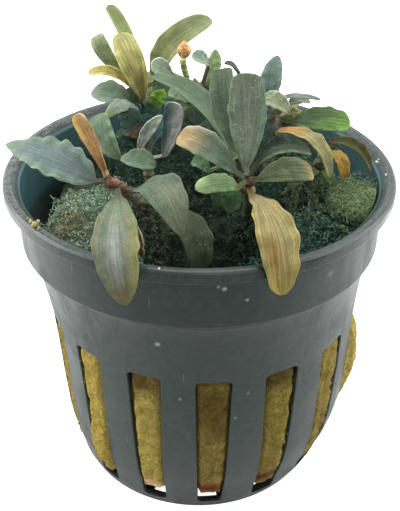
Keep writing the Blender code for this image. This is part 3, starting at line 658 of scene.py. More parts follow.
def pot_material(settings):
    """Dark moulded plastic: a hazy film in streaks, scuffs, specks of lime and a fine moulded grain."""
    made, tree, shader = new_material("pot_plastic", 0.38, 0.55)
    where = in_millimetres(tree)
    x, _, z = split_vector(tree, where)
    level = place(tree, "ShaderNodeVectorMath", (where, (1, 1, 0)), operation="MULTIPLY")
    radius = place(tree, "ShaderNodeVectorMath", (level,), "Value", operation="LENGTH")

    def zone(low, high, off, on):
        """Fades in from the first height to the second, and from the first radius to the second."""
        return times(tree, ramp(tree, z, low, high), ramp(tree, radius, off, on))

    on_rim = zone(48.2, 48.7, 27.4, 27.0)
    inside = zone(40.0, 41.0, 25.6, 25.3)
    skirt = zone(47.0, 47.2, 26.8, 27.1)
    haze = ramp(tree, noise_at(tree, in_millimetres(tree, 1, 1, 0.12), 0.45, 4.0, 0.6), 0.42, 0.72)
    film = times(tree, plus(tree, haze, ramp(tree, noise_at(tree, where, 0.18), 0.4, 0.7)), 0.3)
    # Painted reflection: the rim's deposit grows stronger from the front to the sides, where the rim shows a
    # reflection; the deposit itself is real.
    aside = ramp(tree, sums(tree, "ABSOLUTE", x), 13.0, 24.0, 0.12, 1.0)
    left = ramp(tree, x, 10.0, -10.0, 0.25, 0.6)
    specks = ramp(tree, noise_at(tree, where, 2.6, 3.0, 0.7), 0.71, 0.76)
    deposit = ramp(tree, noise_at(tree, where, 1.6, 5.0, 0.7), 0.36, 0.66)
    scratch = ramp(tree, noise_at(tree, in_millimetres(tree, 3.2, 3.2, 0.25), 0.6, 2.0), 0.735, 0.75)
    blotch = ramp(tree, noise_at(tree, where, 1.1, 5.0, 0.7), 0.6, 0.4, 0.0, 0.5)
    base = blend(tree, film, settings.plastic, (0.05, 0.07, 0.062))
    base = blend(tree, blotch, base, (0.004, 0.012, 0.012))
    base = lay_over(
        tree, base,
        (inside, 0.85, (0.065, 0.155, 0.165)),
        # Real deposit on the rim, with a painted reflection in how it strengthens towards the sides.
        (times(tree, on_rim, deposit), times(tree, aside, left), (0.2, 0.24, 0.22)),
        (specks, 0.5, (0.36, 0.39, 0.36)),
        (scratch, 0.2, (0.3, 0.33, 0.31)),
    )
    group = mark_group()
    ragged = noise_at(tree, where, 7.0, 2.0, 0.8)
    for centre, size, strength in POT_MARKS:
        inputs = {"Centre": centre, "Size": size, "Ragged": ragged}
        mark = place(tree, "ShaderNodeGroup", inputs, node_tree=group)
        base = lay_over(tree, base, (mark, strength, (0.42, 0.46, 0.42)))
    tree.links.new(base, shader.inputs["Base Color"])
    grain = noise_at(tree, where, 6.0, 2.0)
    rough = sums(tree, "MULTIPLY_ADD", film, 0.5, sums(tree, "MULTIPLY_ADD", grain, 0.12, 0.32))
    rough = sums(tree, "MULTIPLY_ADD", skirt, -0.15, rough)
    rough = sums(tree, "MULTIPLY_ADD", on_rim, -0.1, rough)
    tree.links.new(rough, shader.inputs["Roughness"])
    height = plus(tree, times(tree, grain, 0.35), times(tree, noise_at(tree, where, 0.5, 2.0), 1.2))
    connect_bump(tree, shader, sums(tree, "SUBTRACT", height, times(tree, scratch, 0.3)), 0.35, 0.12)
    return made


# Net pot

COLUMNS = SLOTS * COLUMNS_PER_SLOT
SLOT_CORNER = 0.35
# Near enough to count as on a slot's edge, and as on the pot's axis
HAIR = 0.01
AXIS = 1e-3
RIM_RADIUS = 27.5
RIM_CORNER = 0.4
WALL = 0.75


def slot_width(height):
    return between(((SLOT_FOOT, SLOT_WIDTH_FOOT), (SLOT_TOP, SLOT_WIDTH_TOP)), height)


def column_of(point):
    """Which slot and which of its columns a spun point belongs to."""
    turn = bearing(point) % 360
    return divmod(round(turn / 360 * COLUMNS) % COLUMNS, COLUMNS_PER_SLOT)


def column_angle(slot, column, height):
    """Columns 0 to SLOT_COLUMNS cross a slot, and the others cross the rib beside it."""
    width = slot_width(height)
    if column <= SLOT_COLUMNS:
        aside = width * (column / SLOT_COLUMNS - 0.5)
    else:
        aside = width / 2 + (PITCH - width) * (column - SLOT_COLUMNS) / (COLUMNS_PER_SLOT - SLOT_COLUMNS)
    return SLOT_PHASE + PITCH * slot + aside


def lean(height, degrees):
    return between(WALL_LEAN, height) * math.sin(math.radians(degrees))


def inner_radius(height):
    return between(WALL_LINE, height) - WALL


def spin_outline(outline):
    """Turns an outline of radius and height round the pot's axis."""
    bm = bmesh.new()
    points = [bm.verts.new((0, -radius, height)) for radius, height in outline]
    edges = [bm.edges.new(pair) for pair in zip(points, points[1:])]
    turn = {"cent": (0, 0, 0), "axis": (0, 0, 1), "angle": math.tau, "steps": COLUMNS, "use_merge": True}
    bmesh.ops.spin(bm, geom=points + edges, **turn)
    bmesh.ops.remove_doubles(bm, verts=bm.verts, dist=1e-5)
    return bm


def pot_outline():
    """From the middle of the underside, up the outside, over the rim and down the inside."""
    outside = [(radius, height) for height, radius in WALL_LINE]
    inside = [(inner_radius(height), height) for height, _ in reversed(WALL_LINE)]
    skirt_inner = RIM_RADIUS - RIM_SKIRT_WALL
    rim = [
        (BAND_RADIUS - 0.15, BAND_FOOT), (BAND_RADIUS, RIM_UNDERSIDE), (skirt_inner, RIM_UNDERSIDE),
        (skirt_inner, RIM_SKIRT_FOOT), (RIM_RADIUS, RIM_SKIRT_FOOT), (RIM_RADIUS, POT_HEIGHT - RIM_CORNER),
        (RIM_RADIUS - RIM_CORNER, POT_HEIGHT), (RIM_TOP_INNER, POT_HEIGHT),
        (BAND_RADIUS - WALL, POT_HEIGHT - 1.2), (BAND_RADIUS - WALL - 0.1, BAND_FOOT + 0.6),
    ]
    underside = [(0, 0), (FLOOR_SLOT_IN, 0), (FLOOR_SLOT_OUT, 0), (BASE_RADIUS, 0)]
    foot = [(BASE_RADIUS + BASE_CORNER, BASE_CORNER)]
    floor = [(radius, FLOOR) for radius in (FLOOR_SLOT_OUT + 0.6, FLOOR_SLOT_OUT, FLOOR_SLOT_IN, 0)]
    return underside + foot + outside + rim + inside + floor


def in_slot(face):
    """Whether a face of the spun pot lies across a slot of the wall or of the floor."""
    if max(column_of(vert.co)[1] for vert in face.verts) > SLOT_COLUMNS:
        return False
    heights = [vert.co.z for vert in face.verts]
    radii = [vert.co.xy.length for vert in face.verts]
    low, high, inmost, outmost = min(heights), max(heights), min(radii), max(radii)
    on_wall = low > SLOT_FOOT - HAIR and high < SLOT_TOP + HAIR and inmost > FLOOR_SLOT_OUT
    on_floor = high < FLOOR + HAIR and inmost > FLOOR_SLOT_IN - HAIR and outmost < FLOOR_SLOT_OUT + HAIR
    return on_wall or on_floor


def corner_drop(column, height, radius):
    """How far a slot's end is drawn in towards its corners, which are rounded."""
    if column > SLOT_COLUMNS or radius < FLOOR_SLOT_OUT + 0.5:
        return 0.0
    if abs(height - SLOT_TOP) > HAIR and abs(height - SLOT_FOOT) > HAIR:
        return 0.0
    span = math.radians(slot_width(height)) * radius / SLOT_COLUMNS
    aside = min(column, SLOT_COLUMNS - column) * span
    drop = SLOT_CORNER - math.sqrt(max(0.0, SLOT_CORNER**2 - max(0.0, SLOT_CORNER - aside) ** 2))
    return -drop if height > SLOT_FOOT + 1 else drop


def make_pot(settings):
    bm = spin_outline(pot_outline())
    bmesh.ops.delete(bm, geom=[face for face in bm.faces if in_slot(face)], context="FACES")
    rims = {}
    for edge in bm.edges:
        if edge.is_boundary:
            middle = (edge.verts[0].co + edge.verts[1].co) / 2
            slot = round(bearing(middle) % 360 / PITCH - SLOT_COLUMNS / 2 / COLUMNS_PER_SLOT) % SLOTS
            rims.setdefault((slot, middle.z > FLOOR + HAIR), []).append(edge)
    for edges in rims.values():
        bmesh.ops.bridge_loops(bm, edges=edges)
    for vert in bm.verts:
        radius, height = vert.co.xy.length, vert.co.z
        if radius < AXIS:
            continue
        slot, column = column_of(vert.co)
        drop = corner_drop(column, height, radius)
        radius += between(WALL_LINE, height + drop) - between(WALL_LINE, height) if drop else 0.0
        height += drop
        angle = column_angle(slot, column, height)
        vert.co = direction(angle) * (radius + lean(height, angle)) + UP * height
    bmesh.ops.recalc_face_normals(bm, faces=bm.faces)
    pot = add_mesh("pot", bm, [pot_material(settings)])
    corner = {"limit_method": "ANGLE", "angle_limit": math.radians(32), "harden_normals": True}
    add_modifier(pot, "Rounded edges", "BEVEL", width=settings.edge_rounding, segments=3, **corner)
    finish_piece(pot, "net_pot", "net_pot")


# Rock wool


WOOL_SIDE_ROWS = 46
WOOL_FOOT = 5.2
WOOL_TOP_RINGS = 26
WOOL_LEAST_REACH = 0.95
FIBRE_RADIUS = 0.035
WOOL_LIGHT = seen(160, 144, 88)
WOOL_MIDDLE = seen(132, 117, 64)
WOOL_BROWN = seen(96, 80, 42)
# Where the wool differs: direction and height, how wide and how tall, colour
WOOL_PATCHES = (
    (-46, 16, 18, 22, seen(164, 146, 74)),
    (-20, 14, 10, 14, seen(168, 152, 82)),
    (5, 24, 8, 5, seen(96, 82, 40)),
    (28, 22, 9, 9, seen(128, 118, 58)),
    (80, 18, 14, 12, seen(176, 160, 94)),
    (5, 6.4, 8, 1.0, seen(104, 46, 24)),
    (28, 7.0, 6, 1.2, seen(96, 44, 26)),
    # A painted pool of light at the wool's foot, where light comes in under the wool through the floor's
    # slots.
    (-20, 5.4, 7, 1.2, seen(214, 184, 150)),
    # The next two are painted shade under the tops of their slots.
    (-22, 27, 9, 1.6, seen(84, 70, 36)),
    (28, 27.2, 9, 1.4, seen(76, 62, 32)),
)
MOSS_GROUND = seen(38, 46, 34)


def plug_top(x, y):
    """Height of the plug's top: mounds under the moss and a hollow at the front."""
    height = PLUG_TOP_EDGE
    for centre_x, centre_y, radius, rise in PLUG_RELIEF:
        away = math.hypot(x - centre_x, y - centre_y) / radius
        height += rise * math.exp(-away * away * 1.6)
    return height


def wool_reach(angle, height):
    """How far the wool comes out of a slot past the inside of the wall."""
    reach = 0.0
    for bulge_angle, bulge_height, push in WOOL_BULGES:
        aside = turn_between(angle, bulge_angle) / BULGE_WIDE
        above = (height - bulge_height) / BULGE_TALL
        reach = max(reach, (push + WALL + PLUG_GAP) * (1 - aside * aside - above * above))
    return max(WOOL_LEAST_REACH, reach)


def patch_colour(base, patches, angle, height):
    colour = Vector(base)
    for at_angle, at_height, wide, tall, patch in patches:
        share = near(turn_between(angle, at_angle) / wide, (height - at_height) / tall)
        colour = colour.lerp(Vector(patch), min(1, share * 1.2))
    return colour


def moss_ground(point):
    """Colour of the ground between the fronds: that of the nearest mats of moss."""
    total, colour = 0.15, Vector(MOSS_GROUND) * 0.15
    for _, (x, y), (across, along), _, _, _, (middle, _, dark) in MOSS_MATS:
        away = math.hypot((point.x - x) / across, (point.y - y) / along)
        share = math.exp(-(away**2) * 2.2)
        total += share
        colour += Vector(seen(*middle)).lerp(Vector(seen(*dark)), 0.5) * share
    return colour / total


def wool_place(point, outer, settings):
    """Where a point of the spun plug goes: out into its slot, back from the cut side, up to the top."""
    radius, height = point.xy.length, point.z
    slot, column = column_of(point)
    angle = column_angle(slot, column, height)
    rough = noise.fractal(point * 0.55, 0.7, 2.1, 4)
    grain = noise.noise(Vector((point.x * 2.2, point.y * 2.2, point.z * 1.1)))
    if radius > AXIS:
        toward = direction(angle)
        reach = radius + lean(height, angle)
        if height < PLUG_TOP_EDGE + 0.05:
            reach -= abs(rough) * 0.22
            if column <= SLOT_COLUMNS and SLOT_FOOT < height < SLOT_TOP:
                window = ease(min(column, SLOT_COLUMNS - column) / 0.9) * ease(SLOT_TOP - height)
                push = wool_reach(angle, height) + settings.fluff / MM * (rough * 0.6 + grain * 0.5)
                reach += window * push
        cut = ease((height - PLUG_CUT_HEIGHT) / 5) if toward.x < 0 else 0
        if cut:
            reach *= 1 + cut * (min(1, PLUG_CUT_LEFT / (outer * -toward.x)) - 1)
        point = toward * reach + UP * height
    if height >= PLUG_TOP_EDGE:
        lumps = noise.fractal(Vector((point.x * 0.3, point.y * 0.3, 4)), 0.7, 2.2, 5)
        point.z = plug_top(point.x, point.y) + lumps * ease((outer - point.xy.length) / 3)
    return point


def wool_tint(point):
    """Patchy straw colours at the side, which give way to the ground under the moss."""
    shade = 0.5 + 0.5 * noise.fractal(point * 0.4, 0.6, 2.2, 4)
    tone = WOOL_LIGHT if shade > 0.5 else WOOL_BROWN
    wool = Vector(WOOL_MIDDLE).lerp(Vector(tone), min(1, abs(shade - 0.5) * 1.4))
    wool = patch_colour(wool, WOOL_PATCHES, bearing(point), point.z)
    ground = moss_ground(point) * (0.6 + 0.8 * shade)
    on_top = point.xy.length < inner_radius(36) - 0.6 and point.z > 30
    return ground if on_top else wool.lerp(ground, ease((point.z - 32) / 6))


def make_wool(settings):
    rows = [WOOL_FOOT + (PLUG_TOP_EDGE - WOOL_FOOT) * i / WOOL_SIDE_ROWS for i in range(WOOL_SIDE_ROWS + 1)]
    side = [(inner_radius(height) - PLUG_GAP, height) for height in rows]
    outer = side[-1][0]
    rings = range(1, WOOL_TOP_RINGS)
    top = [(outer * (1 - i / WOOL_TOP_RINGS), PLUG_TOP_EDGE + 0.2 + 0.01 * i) for i in rings]
    bm = spin_outline([(0, WOOL_FOOT)] + side + top + [(0, PLUG_TOP_EDGE + 1)])
    for vert in bm.verts:
        vert.co = wool_place(vert.co, outer, settings)
    bmesh.ops.recalc_face_normals(bm, faces=bm.faces)
    tints = [wool_tint(vert.co) for vert in bm.verts]
    wool = add_mesh("wool", bm, [tinted_material("rock_wool", 0.95, 1.6, 2.4, 0.9, 0.5, 0.1)])
    tint_mesh(wool.data, tints)
    finish_piece(wool, "wool_plug", "wool_plug")


# Threads of moss and wool


def thread(rng, start, heading, length, points, curl, droop):
    """The points of a thread that wanders by curl and sinks by droop."""
    heading = heading.normalized()
    line = [start]
    for _ in range(points - 1):
        wander = Vector([rng.gauss(0, curl) for _ in range(3)])
        heading = (heading + wander - UP * droop).normalized()
        line.append(line[-1] + heading * (length / (points - 1)))
    return line


def keep_in_pot(point):
    """Moves a point that would be in the pot's wall to the inside of it."""
    limit = BAND_RADIUS - WALL - 0.35
    radius = point.xy.length
    if radius > limit and point.z < POT_HEIGHT + 0.15:
        point = point.copy()
        point.xy = point.xy * (limit / radius)
    return point


def new_curve(name, depth, resolution):
    """An empty curve that is round, with its thickness as the radius."""
    curve = bpy.data.curves.new(name, "CURVE")
    curve.dimensions = "3D"
    curve.bevel_depth = depth
    curve.bevel_resolution = resolution
    return curve


def curve_shape(curve):
    """The curve's mesh as a bmesh. The curve itself is removed."""
    holder = bpy.data.objects.new(curve.name, curve)
    mesh = bpy.data.meshes.new_from_object(holder)
    bpy.data.objects.remove(holder)
    bpy.data.curves.remove(curve)
    bm = bmesh.new()
    bm.from_mesh(mesh)
    bpy.data.meshes.remove(mesh)
    return bm


def add_threads(name, threads, material):
    """Makes tapering threads, given as points, radius and colour, into one mesh."""
    curve = new_curve(name, MM, 0)
    for line, radius, _ in threads:
        spline = curve.splines.new("POLY")
        last = len(line) - 1
        spline.points.add(last)
        spline.points.foreach_set("co", [value for point in line for value in (*(point * MM), 1)])
        spline.points.foreach_set("radius", [radius * (1 - 0.65 * i / last) for i in range(last + 1)])
    bm = curve_shape(curve)
    bmesh.ops.holes_fill(bm, edges=[edge for edge in bm.edges if edge.is_boundary], sides=4)
    bmesh.ops.recalc_face_normals(bm, faces=bm.faces)
    made = add_mesh(name, bm, [material], 1)
    counts = [4 * len(line) for line, _, _ in threads]
    points = len(made.data.vertices)
    if sum(counts) != points:
        raise RuntimeError(f"{name}: {points} points were made where {sum(counts)} were expected")
    colours = np.array([colour for _, _, colour in threads], np.float32)
    tint_mesh(made.data, np.repeat(colours, counts, axis=0))
    return made


# Mats of moss: name, centre x and y, radius across and along, how many fronds, their length, how high they
# start over the plug, colours
# The front mat's near-black tones are painted shade of the hollow under the leaves; the middle and back mats
# stand raised in dark tones that are partly painted shade between the leaves.
MOSS_MATS = (
    ("left", (-14.5, -8), (7.5, 11.5), 780, 2.4, 2.2, ((140, 160, 136), (188, 204, 178), (94, 114, 94))),
    ("front_left", (-10.5, -19.5), (7, 4.5), 560, 2.8, 2.4,
        ((132, 156, 130), (190, 206, 180), (86, 108, 90))),
    ("mound", (-6.9, -10.4), (2.6, 3.4), 520, 1.5, 7.4, ((84, 96, 76), (124, 134, 108), (54, 64, 50))),
    ("middle", (-1, -3), (9, 9), 440, 2.4, 2.6, ((58, 74, 62), (96, 110, 94), (40, 52, 44))),
    ("front", (1, -17), (9, 6), 160, 1.6, 0.0, ((26, 42, 40), (44, 66, 60), (20, 32, 32))),
    ("right_front", (14, -13), (9, 9), 740, 2.4, 1.4, ((68, 98, 88), (128, 156, 138), (42, 66, 60))),
    ("back_right", (12, 7), (9, 9), 460, 2.6, 4.6, ((64, 92, 80), (106, 134, 112), (42, 64, 56))),
    ("right", (15.6, -2.8), (3.2, 3.4), 420, 1.8, 6.5, ((92, 108, 82), (134, 146, 112), (58, 70, 56))),
    ("tuft_edge", (18.2, -8.6), (3.8, 4), 260, 1.8, 4.5, ((78, 102, 82), (122, 142, 108), (52, 74, 62))),
    ("front_right_stem", (6.5, -9.6), (2.4, 2.6), 300, 1.5, 5.5, ((46, 66, 50), (78, 100, 74), (30, 44, 36))),
    ("back_left", (-5, 9), (10, 8), 560, 2.6, 6.0, ((58, 84, 72), (96, 122, 100), (42, 62, 52))),
)
FROND_POINTS = 6
LEAFLETS = 2
TAN_PATCH = (Vector((-17.2, -12.5)), 2.2, seen(170, 150, 105))


def moss_colour(rng, colours, at, height_above):
    middle, light, dark = (Vector(seen(*colour)) for colour in colours)
    colour = middle.lerp(light if rng.random() < 0.4 else dark, rng.random())
    centre, radius, tan = TAN_PATCH
    share = near((at - centre).length / radius)
    return colour.lerp(Vector(tan), 0.8 * share) * (0.75 + 0.5 * height_above)


def moss_thread(rng, *shape):
    """A thread that stays inside the pot's wall."""
    return [keep_in_pot(point) for point in thread(rng, *shape)]


def moss_threads(rng, mat, settings):
    """Fronds of one mat: each is a wandering thread with short leaflets along it."""
    _, centre, size, count, length, lift, colours = mat
    radius = settings.thread_radius / MM
    threads = []
    for _ in range(round(count * settings.density)):
        spread = math.sqrt(rng.random())
        turn = rng.uniform(0, math.tau)
        x = centre[0] + size[0] * spread * math.cos(turn)
        y = centre[1] + size[1] * spread * math.sin(turn)
        at = Vector((x, y))
        if at.length > BAND_RADIUS - WALL - 0.8 or at.x < -PLUG_CUT_LEFT + 0.5:
            continue
        start = Vector((at.x, at.y, plug_top(at.x, at.y) - 0.2 + lift * rng.random() * (1 - 0.5 * spread)))
        heading = Vector((rng.gauss(0, 1), rng.gauss(0, 1), rng.uniform(0.1, 1.1)))
        line = moss_thread(rng, start, heading, length * rng.uniform(0.5, 1.2), FROND_POINTS, 0.6, 0.16)
        threads.append((line, radius, moss_colour(rng, colours, at, 0.2)))
        for step in range(1, FROND_POINTS):
            for _ in range(LEAFLETS):
                out = Vector((rng.gauss(0, 1), rng.gauss(0, 1), rng.gauss(0.3, 0.7)))
                leaflet = moss_thread(rng, line[step], out, rng.uniform(0.3, 0.75), 2, 0.4, 0.1)
                tone = moss_colour(rng, colours, at, step / (FROND_POINTS - 1))
                threads.append((leaflet, radius * 1.25, tone))
    return threads


def make_moss(settings):
    material = tinted_material("moss", 0.85, 1.2, 1.2, 0.4, 0.2, 0.2, COOL_SHADES)
    for mat in MOSS_MATS:
        threads = moss_threads(random.Random(mat[0]), mat, settings)
        finish_piece(add_threads("moss_" + mat[0], threads, material), "moss_tuft")
    make_tuft(settings, material)


TUFT_THREADS = 3000
TUFT_COLOURS = (seen(112, 134, 94), seen(146, 160, 114), seen(78, 106, 78), seen(136, 138, 94))
TUFT_SHADED = seen(74, 98, 92)


def tuft_point(rng):
    """A point on the upper side of the tuft."""
    away = Vector((rng.gauss(0, 1), rng.gauss(0, 1), abs(rng.gauss(0, 0.9)))).normalized()
    size = Vector(TUFT_SIZE) / 2
    point = Vector(TUFT_CENTRE) + Vector((away.x * size.x, away.y * size.y, away.z * size.z))
    return keep_in_pot(point), away


def tuft_shade(point):
    """Share of the painted shade, a bluer green, which is towards the back and the rim."""
    return ease((point.y + point.x * 0.4 - 4.6 + 0.9 * noise.noise(point * 0.7)) / 3.0)


def make_tuft(settings, material):
    """A combed pad of pale threads over a solid heart."""
    bm = bmesh.new()
    bmesh.ops.create_icosphere(bm, subdivisions=5, radius=0.5)
    bmesh.ops.scale(bm, vec=TUFT_SIZE, verts=bm.verts)
    bmesh.ops.translate(bm, vec=TUFT_CENTRE, verts=bm.verts)
    tints = []
    for vert in bm.verts:
        x, y, z = vert.co
        combed = Vector((x * 0.35 + y * 0.3, x * 1.1 - y * 1.2, z * 0.8))
        vert.co += vert.normal * (0.6 * noise.fractal(combed, 0.6, 2.2, 4) - 0.25)
        vert.co = keep_in_pot(vert.co)
        tone = Vector(TUFT_COLOURS[0]).lerp(Vector(TUFT_COLOURS[2]), 0.5 + noise.noise(vert.co * 0.8))
        tints.append(tone.lerp(Vector(TUFT_SHADED), tuft_shade(vert.co)))
    heart = add_mesh("moss_tuft_heart", bm, [material])
    tint_mesh(heart.data, tints)
    finish_piece(heart, "moss_tuft", "moss_tuft")
    rng = random.Random("tuft")
    threads = []
    for _ in range(round(TUFT_THREADS * settings.density)):
        start, away = tuft_point(rng)
        heading = Vector((0.6, -0.8, -0.1)) + Vector([rng.gauss(0, 0.5) for _ in range(3)])
        heading -= away * heading.dot(away) * 0.85
        line = moss_thread(rng, start - away * 0.1, heading, rng.uniform(0.7, 1.9), FROND_POINTS, 0.32, 0.1)
        colour = Vector(TUFT_COLOURS[rng.randrange(4)]).lerp(Vector(TUFT_SHADED), tuft_shade(start))
        threads.append((line, settings.thread_radius / MM, colour * rng.uniform(0.7, 1.2)))
    finish_piece(add_threads("moss_tuft_threads", threads, material), "moss_tuft")


def make_fuzz(settings):
    """Short loose fibres of the wool in the slots."""
    rng = random.Random("fuzz")
    threads = []
    for _ in range(settings.loose_fibres):
        slot = rng.randrange(SLOTS)
        height = rng.uniform(WOOL_FOOT + 0.5, BULGE_TOP - 1)
        across = rng.uniform(0.12, 0.88)
        angle = SLOT_PHASE + PITCH * slot + slot_width(height) * (across - 0.5)
        window = ease(min(across, 1 - across) * SLOT_COLUMNS)
        radius = inner_radius(height) - PLUG_GAP + lean(height, angle)
        start = direction(angle) * (radius + window * wool_reach(angle, height)) + UP * height
        heading = direction(angle) * 0.35 + direction(angle + 90) * rng.gauss(0, 1) + UP * rng.gauss(0, 1)
        line = thread(rng, start, heading, rng.uniform(0.4, 1.1), 4, 0.3, 0.0)
        colour = patch_colour(WOOL_MIDDLE, WOOL_PATCHES, angle, height) * rng.uniform(0.8, 1.5)
        threads.append((line, FIBRE_RADIUS, colour))
    finish_piece(add_threads("wool_fuzz", threads, bpy.data.materials["rock_wool"]), "wool_plug")


# Stems and bud


def stem_material(settings):
    """Reddish-brown bark with paler scars and dark hollows."""
    made, tree, shader = new_material("stem_bark", 0.6, 0.3)
    where = in_millimetres(tree)
    rings = ramp(tree, noise_at(tree, in_millimetres(tree, 0.5, 0.5, 2.2), 0.9), 0.4, 0.62)
    patch = ramp(tree, noise_at(tree, where, 0.8), 0.45, 0.65)
    base = blend(tree, rings, settings.bark, seen(142, 80, 50))
    base = lay_over(tree, base, (patch, 0.6, seen(52, 40, 28)))
    base = blend(tree, 1.0, base, tint_of(tree), "MULTIPLY")
    tree.links.new(base, shader.inputs["Base Color"])
    connect_bump(tree, shader, plus(tree, rings, noise_at(tree, where, 5.0, 2.0)), 0.7, 0.25)
    return made


def tube(name, points, radius):
    """A round stem along a smooth line, as a bmesh in millimetres."""
    curve = new_curve(name, radius, 4)
    curve.use_fill_caps = True
    curve.resolution_u = 14
    spline = curve.splines.new("BEZIER")
    spline.bezier_points.add(len(points) - 1)
    for bezier, point in zip(spline.bezier_points, points):
        bezier.co = Vector(point)
        bezier.handle_left_type = "AUTO"
        bezier.handle_right_type = "AUTO"
    bm = curve_shape(curve)
    bmesh.ops.remove_doubles(bm, verts=bm.verts, dist=1e-4)
    bmesh.ops.recalc_face_normals(bm, faces=bm.faces)
    return bm


# Share of the bark's colour at the foot and at the top of a stem; the darker foot is painted shade under the
# leaves and moss, and the stems out of sight among the leaves are painted dark and greener as shade
STEM_TONES = {
    "front_left": ((0.7, 2.2, 3.6), (1.0, 1.6, 2.2)),
    "front_right": ((0.3, 1.1, 1.4), (0.9, 1.3, 1.6)),
    "bud": ((2.6, 9.0, 10.0), (3.2, 11.0, 13.0)),
    "hidden_in_shade": ((0.4, 1.4, 1.8), (0.8, 2.6, 3.2)),
}


def make_stems(settings):
    bark = stem_material(settings)
    for name, points in STEMS.items():
        radius = STALK_RADIUS if name == "bud" else STEM_RADIUS
        bm = tube(name, points, radius)
        bm.normal_update()
        for vert in bm.verts:
            ring = math.sin(vert.co.z * 7.5 + 2.0 * noise.noise(vert.co))
            vert.co += vert.normal * radius * settings.ring_height * (ring + noise.noise(vert.co * 2.2))
        top = max(point[2] for point in points)
        # Painted shade: each stem darker towards its foot, and darker still where it is out of sight.
        low, high = STEM_TONES.get(name, STEM_TONES["hidden_in_shade"])
        tints = [Vector(low).lerp(Vector(high), ease((vert.co.z - top + 3.4) / 1.8)) for vert in bm.verts]
        stem = add_mesh("bark_" + name, bm, [bark])
        tint_mesh(stem.data, tints)
        finish_piece(stem, "stem_" + name, "stem_" + name)


def make_bud(settings):
    """A pointed bud wrapped in a ridged sheath."""
    bm = bmesh.new()
    bmesh.ops.create_uvsphere(bm, u_segments=36, v_segments=24, radius=0.5)
    for vert in bm.verts:
        up = vert.co.z + 0.5
        taper = 1 - 0.45 * ease((up - 0.5) / 0.5)
        turn = math.atan2(vert.co.y, vert.co.x)
        ridge = 1 + 0.05 * math.sin(7 * turn + 3 * up)
        vert.co.xy = vert.co.xy * taper * ridge
    bmesh.ops.scale(bm, vec=BUD_SIZE, verts=bm.verts)
    bmesh.ops.translate(bm, vec=BUD_CENTRE, verts=bm.verts)
    made, tree, shader = new_material("bud_sheath", 0.5, 0.35)
    streaks = ramp(tree, noise_at(tree, in_millimetres(tree, 2.6, 2.6, 0.5), 1.0), 0.4, 0.64)
    patch = ramp(tree, noise_at(tree, in_millimetres(tree), 1.6, 2.0), 0.52, 0.7)
    base = blend(tree, streaks, settings.sheath, seen(214, 178, 120))
    tree.links.new(blend(tree, patch, base, seen(140, 84, 46)), shader.inputs["Base Color"])
    connect_bump(tree, shader, streaks, 0.5, 0.15)
    finish_piece(add_mesh("bud", bm, [made]), "flower_bud", "flower_bud")


# Leaves


STALK_TINT = Vector(seen(112, 92, 62))
STALK_BROWN = 0.35


def blade_width(share, shape):
    """Width of the blade at a share of its length, from its foot to its tip."""
    widest, fullness, tip_share = shape["outline"]
    swell = math.sin(math.pi * share**widest) ** fullness if 0 < share < 1 else 0.0
    ends = PETIOLE_WIDTH + (tip_share * shape["width"] - PETIOLE_WIDTH) * share
    return (ends + max(0.0, shape["width"] - ends) * swell) * tip_rounding(share, shape)


def tip_rounding(share, shape):
    """Share of the width left by the rounding of the tip's corners."""
    reach = (shape["middle"] - shape["foot"]).length + (shape["tip"] - shape["middle"]).length
    cap = (0.1 + 0.55 * shape["outline"][2]) * shape["cap"] * shape["width"] / reach
    past = min(1.0, max(0.0, (share - 1 + cap) / cap))
    return max(TIP_SHARE_LEFT, (1 - past**2.4) ** (1 / 2.4))


def midrib(shape, share):
    """Point and direction on the curve from foot through middle to tip."""
    foot, middle, tip = shape["foot"], shape["middle"], shape["tip"]
    pull = middle * 2 - (foot + tip) / 2
    point = foot * (1 - share) ** 2 + pull * (2 * share * (1 - share)) + tip * share**2
    along = (pull - foot) * (1 - share) + (tip - pull) * share
    return point, along.normalized()


def stalk_start(stem, foot):
    """Where a stalk leaves its stem: just inside the nearest point of the stem's centre line."""
    points = STEMS[stem]
    nearest = None
    for start, end in zip(points, points[1:]):
        start, end = Vector(start), Vector(end)
        share = (foot - start).dot(end - start) / (end - start).length_squared
        point = start.lerp(end, min(1, max(0, share)))
        if nearest is None or (foot - point).length < (foot - nearest).length:
            nearest = point
    return nearest + (foot - nearest).normalized() * STEM_RADIUS * 0.5


def stalk_tint(shape):
    """The stalk is a browner shade of its blade's middle."""
    return Vector(shape["tints"][0]).lerp(STALK_TINT, STALK_BROWN) * 0.8


def blade_tint(shape, share, side):
    middle, edge, tip = (Vector(tint) for tint in shape["tints"])
    colour = middle.lerp(edge, abs(side) ** 2.2).lerp(tip, ease((share - 0.72) / 0.28) * 0.85)
    for at, across, long, wide, tone, strength in shape["dabs"]:
        part = strength * near((share - at) / long, (side - across) / wide)
        colour = colour.lerp(Vector(seen(*tone)), min(1, part))
    return colour.lerp(stalk_tint(shape), 1 - ease(share / 0.12))


def uneven(share, phase, often, y, z):
    """Noise that changes along a blade; the last two numbers choose which."""
    return noise.noise(Vector((share * often + phase, y, z)))


